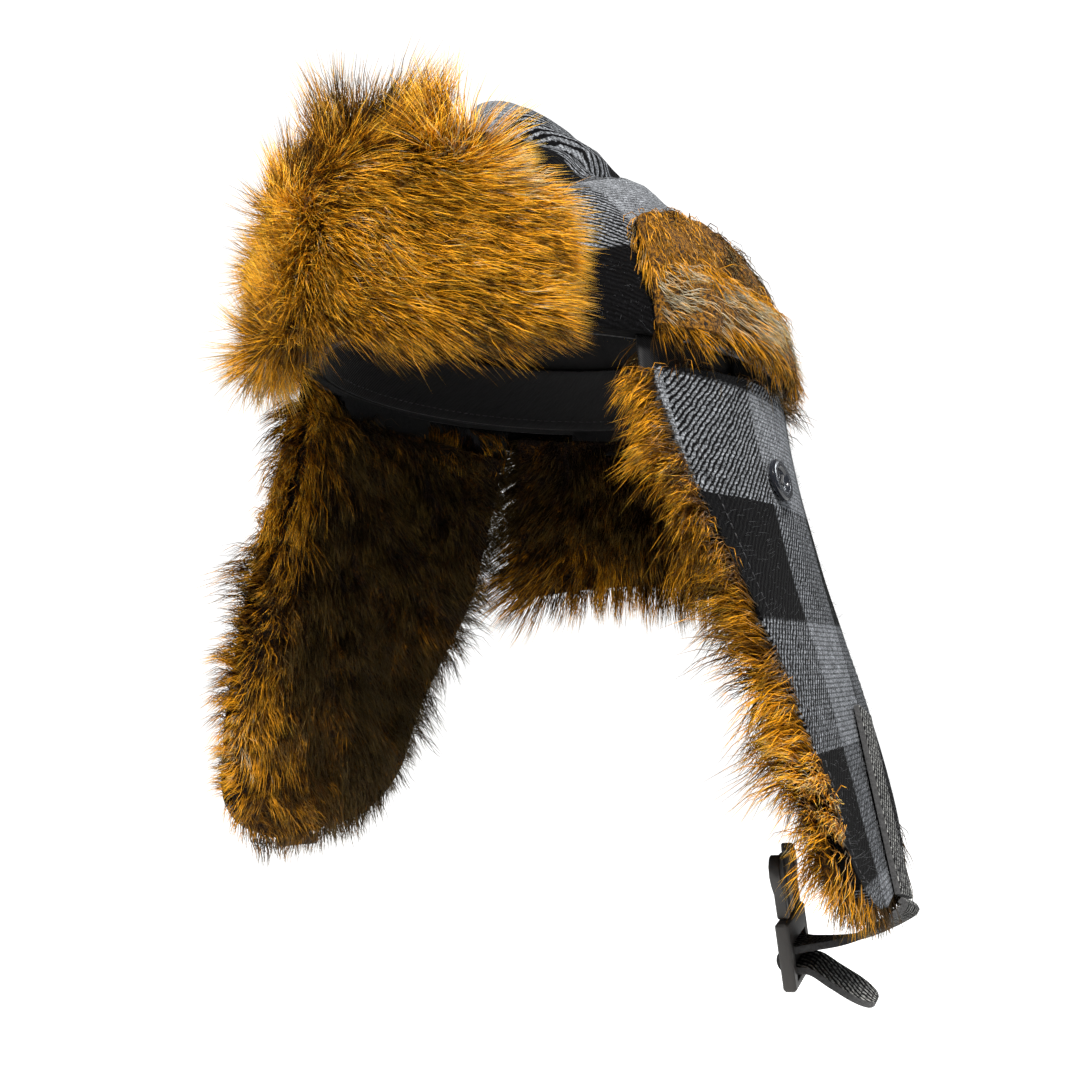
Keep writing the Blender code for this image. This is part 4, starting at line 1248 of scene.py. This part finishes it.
def sewnPath(side):
    def placeAt(share):
        y = strapCut["topY"] + (strapCut["lowY"] - strapCut["topY"]) * share
        down = strapCut["from"] + (strapCut["to"] - strapCut["from"]) * share
        return flapFrame(side, y, down, strapCut["out"]).translation

    return [placeAt(step / 6) for step in range(7)]


def strapStitches(side):
    centre = np.array(sewnPath(side))
    wide, high = np.array(sewnAcross) * strapCut["stitchOut"] * mm, (strapCut["thick"] / 2 - 0.05) * mm
    outward = np.array(flapFrame(side, strapCut["topY"], strapCut["from"], 0).col[2].xyz)

    def between(share, offset):
        position = share * (len(centre) - 1)
        index = min(int(position), len(centre) - 2)
        along = (centre[index + 1] - centre[index]) * (position - index)
        return centre[index] + along + wide * offset + outward * high

    legs = [((0.05, -1), (0.95, -1)), ((0.95, -1), (0.95, 1)), ((0.95, 1), (0.05, 1)), ((0.05, 1), (0.05, -1)),
            ((0.62, -1), (0.62, 1)), ((0.62, -1), (0.95, 1)), ((0.62, 1), (0.95, -1))]
    rows = []
    for (share0, offset0), (share1, offset1) in legs:
        steps = np.linspace(0, 1, 12)
        points = [
            between(share0 + (share1 - share0) * step, offset0 + (offset1 - offset0) * step) for step in steps]
        rows.append((points, [outward] * len(points)))
    sewAlong(f"{side}StrapStitches", rows, f"{side}_flap")


def makeStraps():
    for side in ("left", "right"):
        strapPiece(
            f"{side}StrapSewn", sewnPath(side), sewnAcross, sewnAcross, f"{side}_flap", f"{side}_strap_sewn")
        strapStitches(side)
    start = flapFrame("left", strapCut["lowY"], strapCut["to"] + strapCut["gap"], strapCut["out"])
    arrive = maleFrame @ (Vector((0, loopRadius, -6)) * mm)
    leave = maleFrame @ (Vector((0, -loopRadius, -6)) * mm)
    straight = start @ Vector((0, -3 * mm, 0))
    path = [start.translation, straight, straight.lerp(arrive, 0.5) + Vector((0, 0, -3 * mm)), arrive]
    path += roundBar(maleFrame, 0, 180) + [leave]
    tail = maleFrame.to_3x3() @ Vector((0, -0.55, -0.83))
    path += [leave + tail * step * 22 * mm / 3 for step in (1, 2, 3)]
    strapPiece("leftStrapFree", path, sewnAcross, -maleFrame.col[0].xyz, "left_strap", "left_strap_free", True)
    start = flapFrame("right", strapCut["lowY"], strapCut["to"] + strapCut["gap"], strapCut["out"])
    path = [start.translation]
    for step in range(7):
        turn = math.pi * step / 6
        path.append(start @ (Vector((0, -2 - 3.4 * math.sin(turn), 3.4 * (1 - math.cos(turn)))) * mm))
    path.append(femaleFrame @ (Vector((0, -10, 1.6)) * mm))
    path += roundBar(femaleFrame, 100, -110)
    path.append(femaleFrame @ (Vector((0, -5, -2.2)) * mm))
    strapPiece("rightStrapFree", path, sewnAcross, -femaleFrame.col[0].xyz, "right_strap", "right_strap_free")


makeStraps()
print("straps made")


# buckle halves and buttons
def softenedCopy(name, node, width, material, body):
    bm = bmesh.new()
    bm.from_mesh(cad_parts[node].data)
    bmesh.ops.remove_doubles(bm, verts=bm.verts, dist=0.01 * mm)
    bmesh.ops.dissolve_limit(bm, angle_limit=math.radians(1), verts=bm.verts, edges=bm.edges)
    piece = addMesh(name, bm, [material])
    addRound(piece, width * mm, 3, 25).harden_normals = True
    settle(piece, body, node)


for name, node, width, body in (
    ("maleBuckleFrame", "male_buckle_frame", 0.22, "male_buckle"),
    ("maleBuckleTongue", "male_buckle_tongue", 0.18, "male_buckle"),
    ("buckleProngA", "buckle_prong_a", 0.16, "prong_a"),
    ("buckleProngB", "buckle_prong_b", 0.16, "prong_b"),
    ("femaleBuckle", "female_buckle", 0.25, "female_buckle"),
):
    softenedCopy(name, node, width, bucklePlastic, body)
for side in ("left", "right"):
    softenedCopy(f"{side}Button", f"{side}_button", 0.12, buttonPlastic, f"{side}_flap")
    softenedCopy(f"{side}ButtonThread", f"{side}_button_thread", 0.15, threadMaterial, f"{side}_flap")
print("buckles and buttons made")
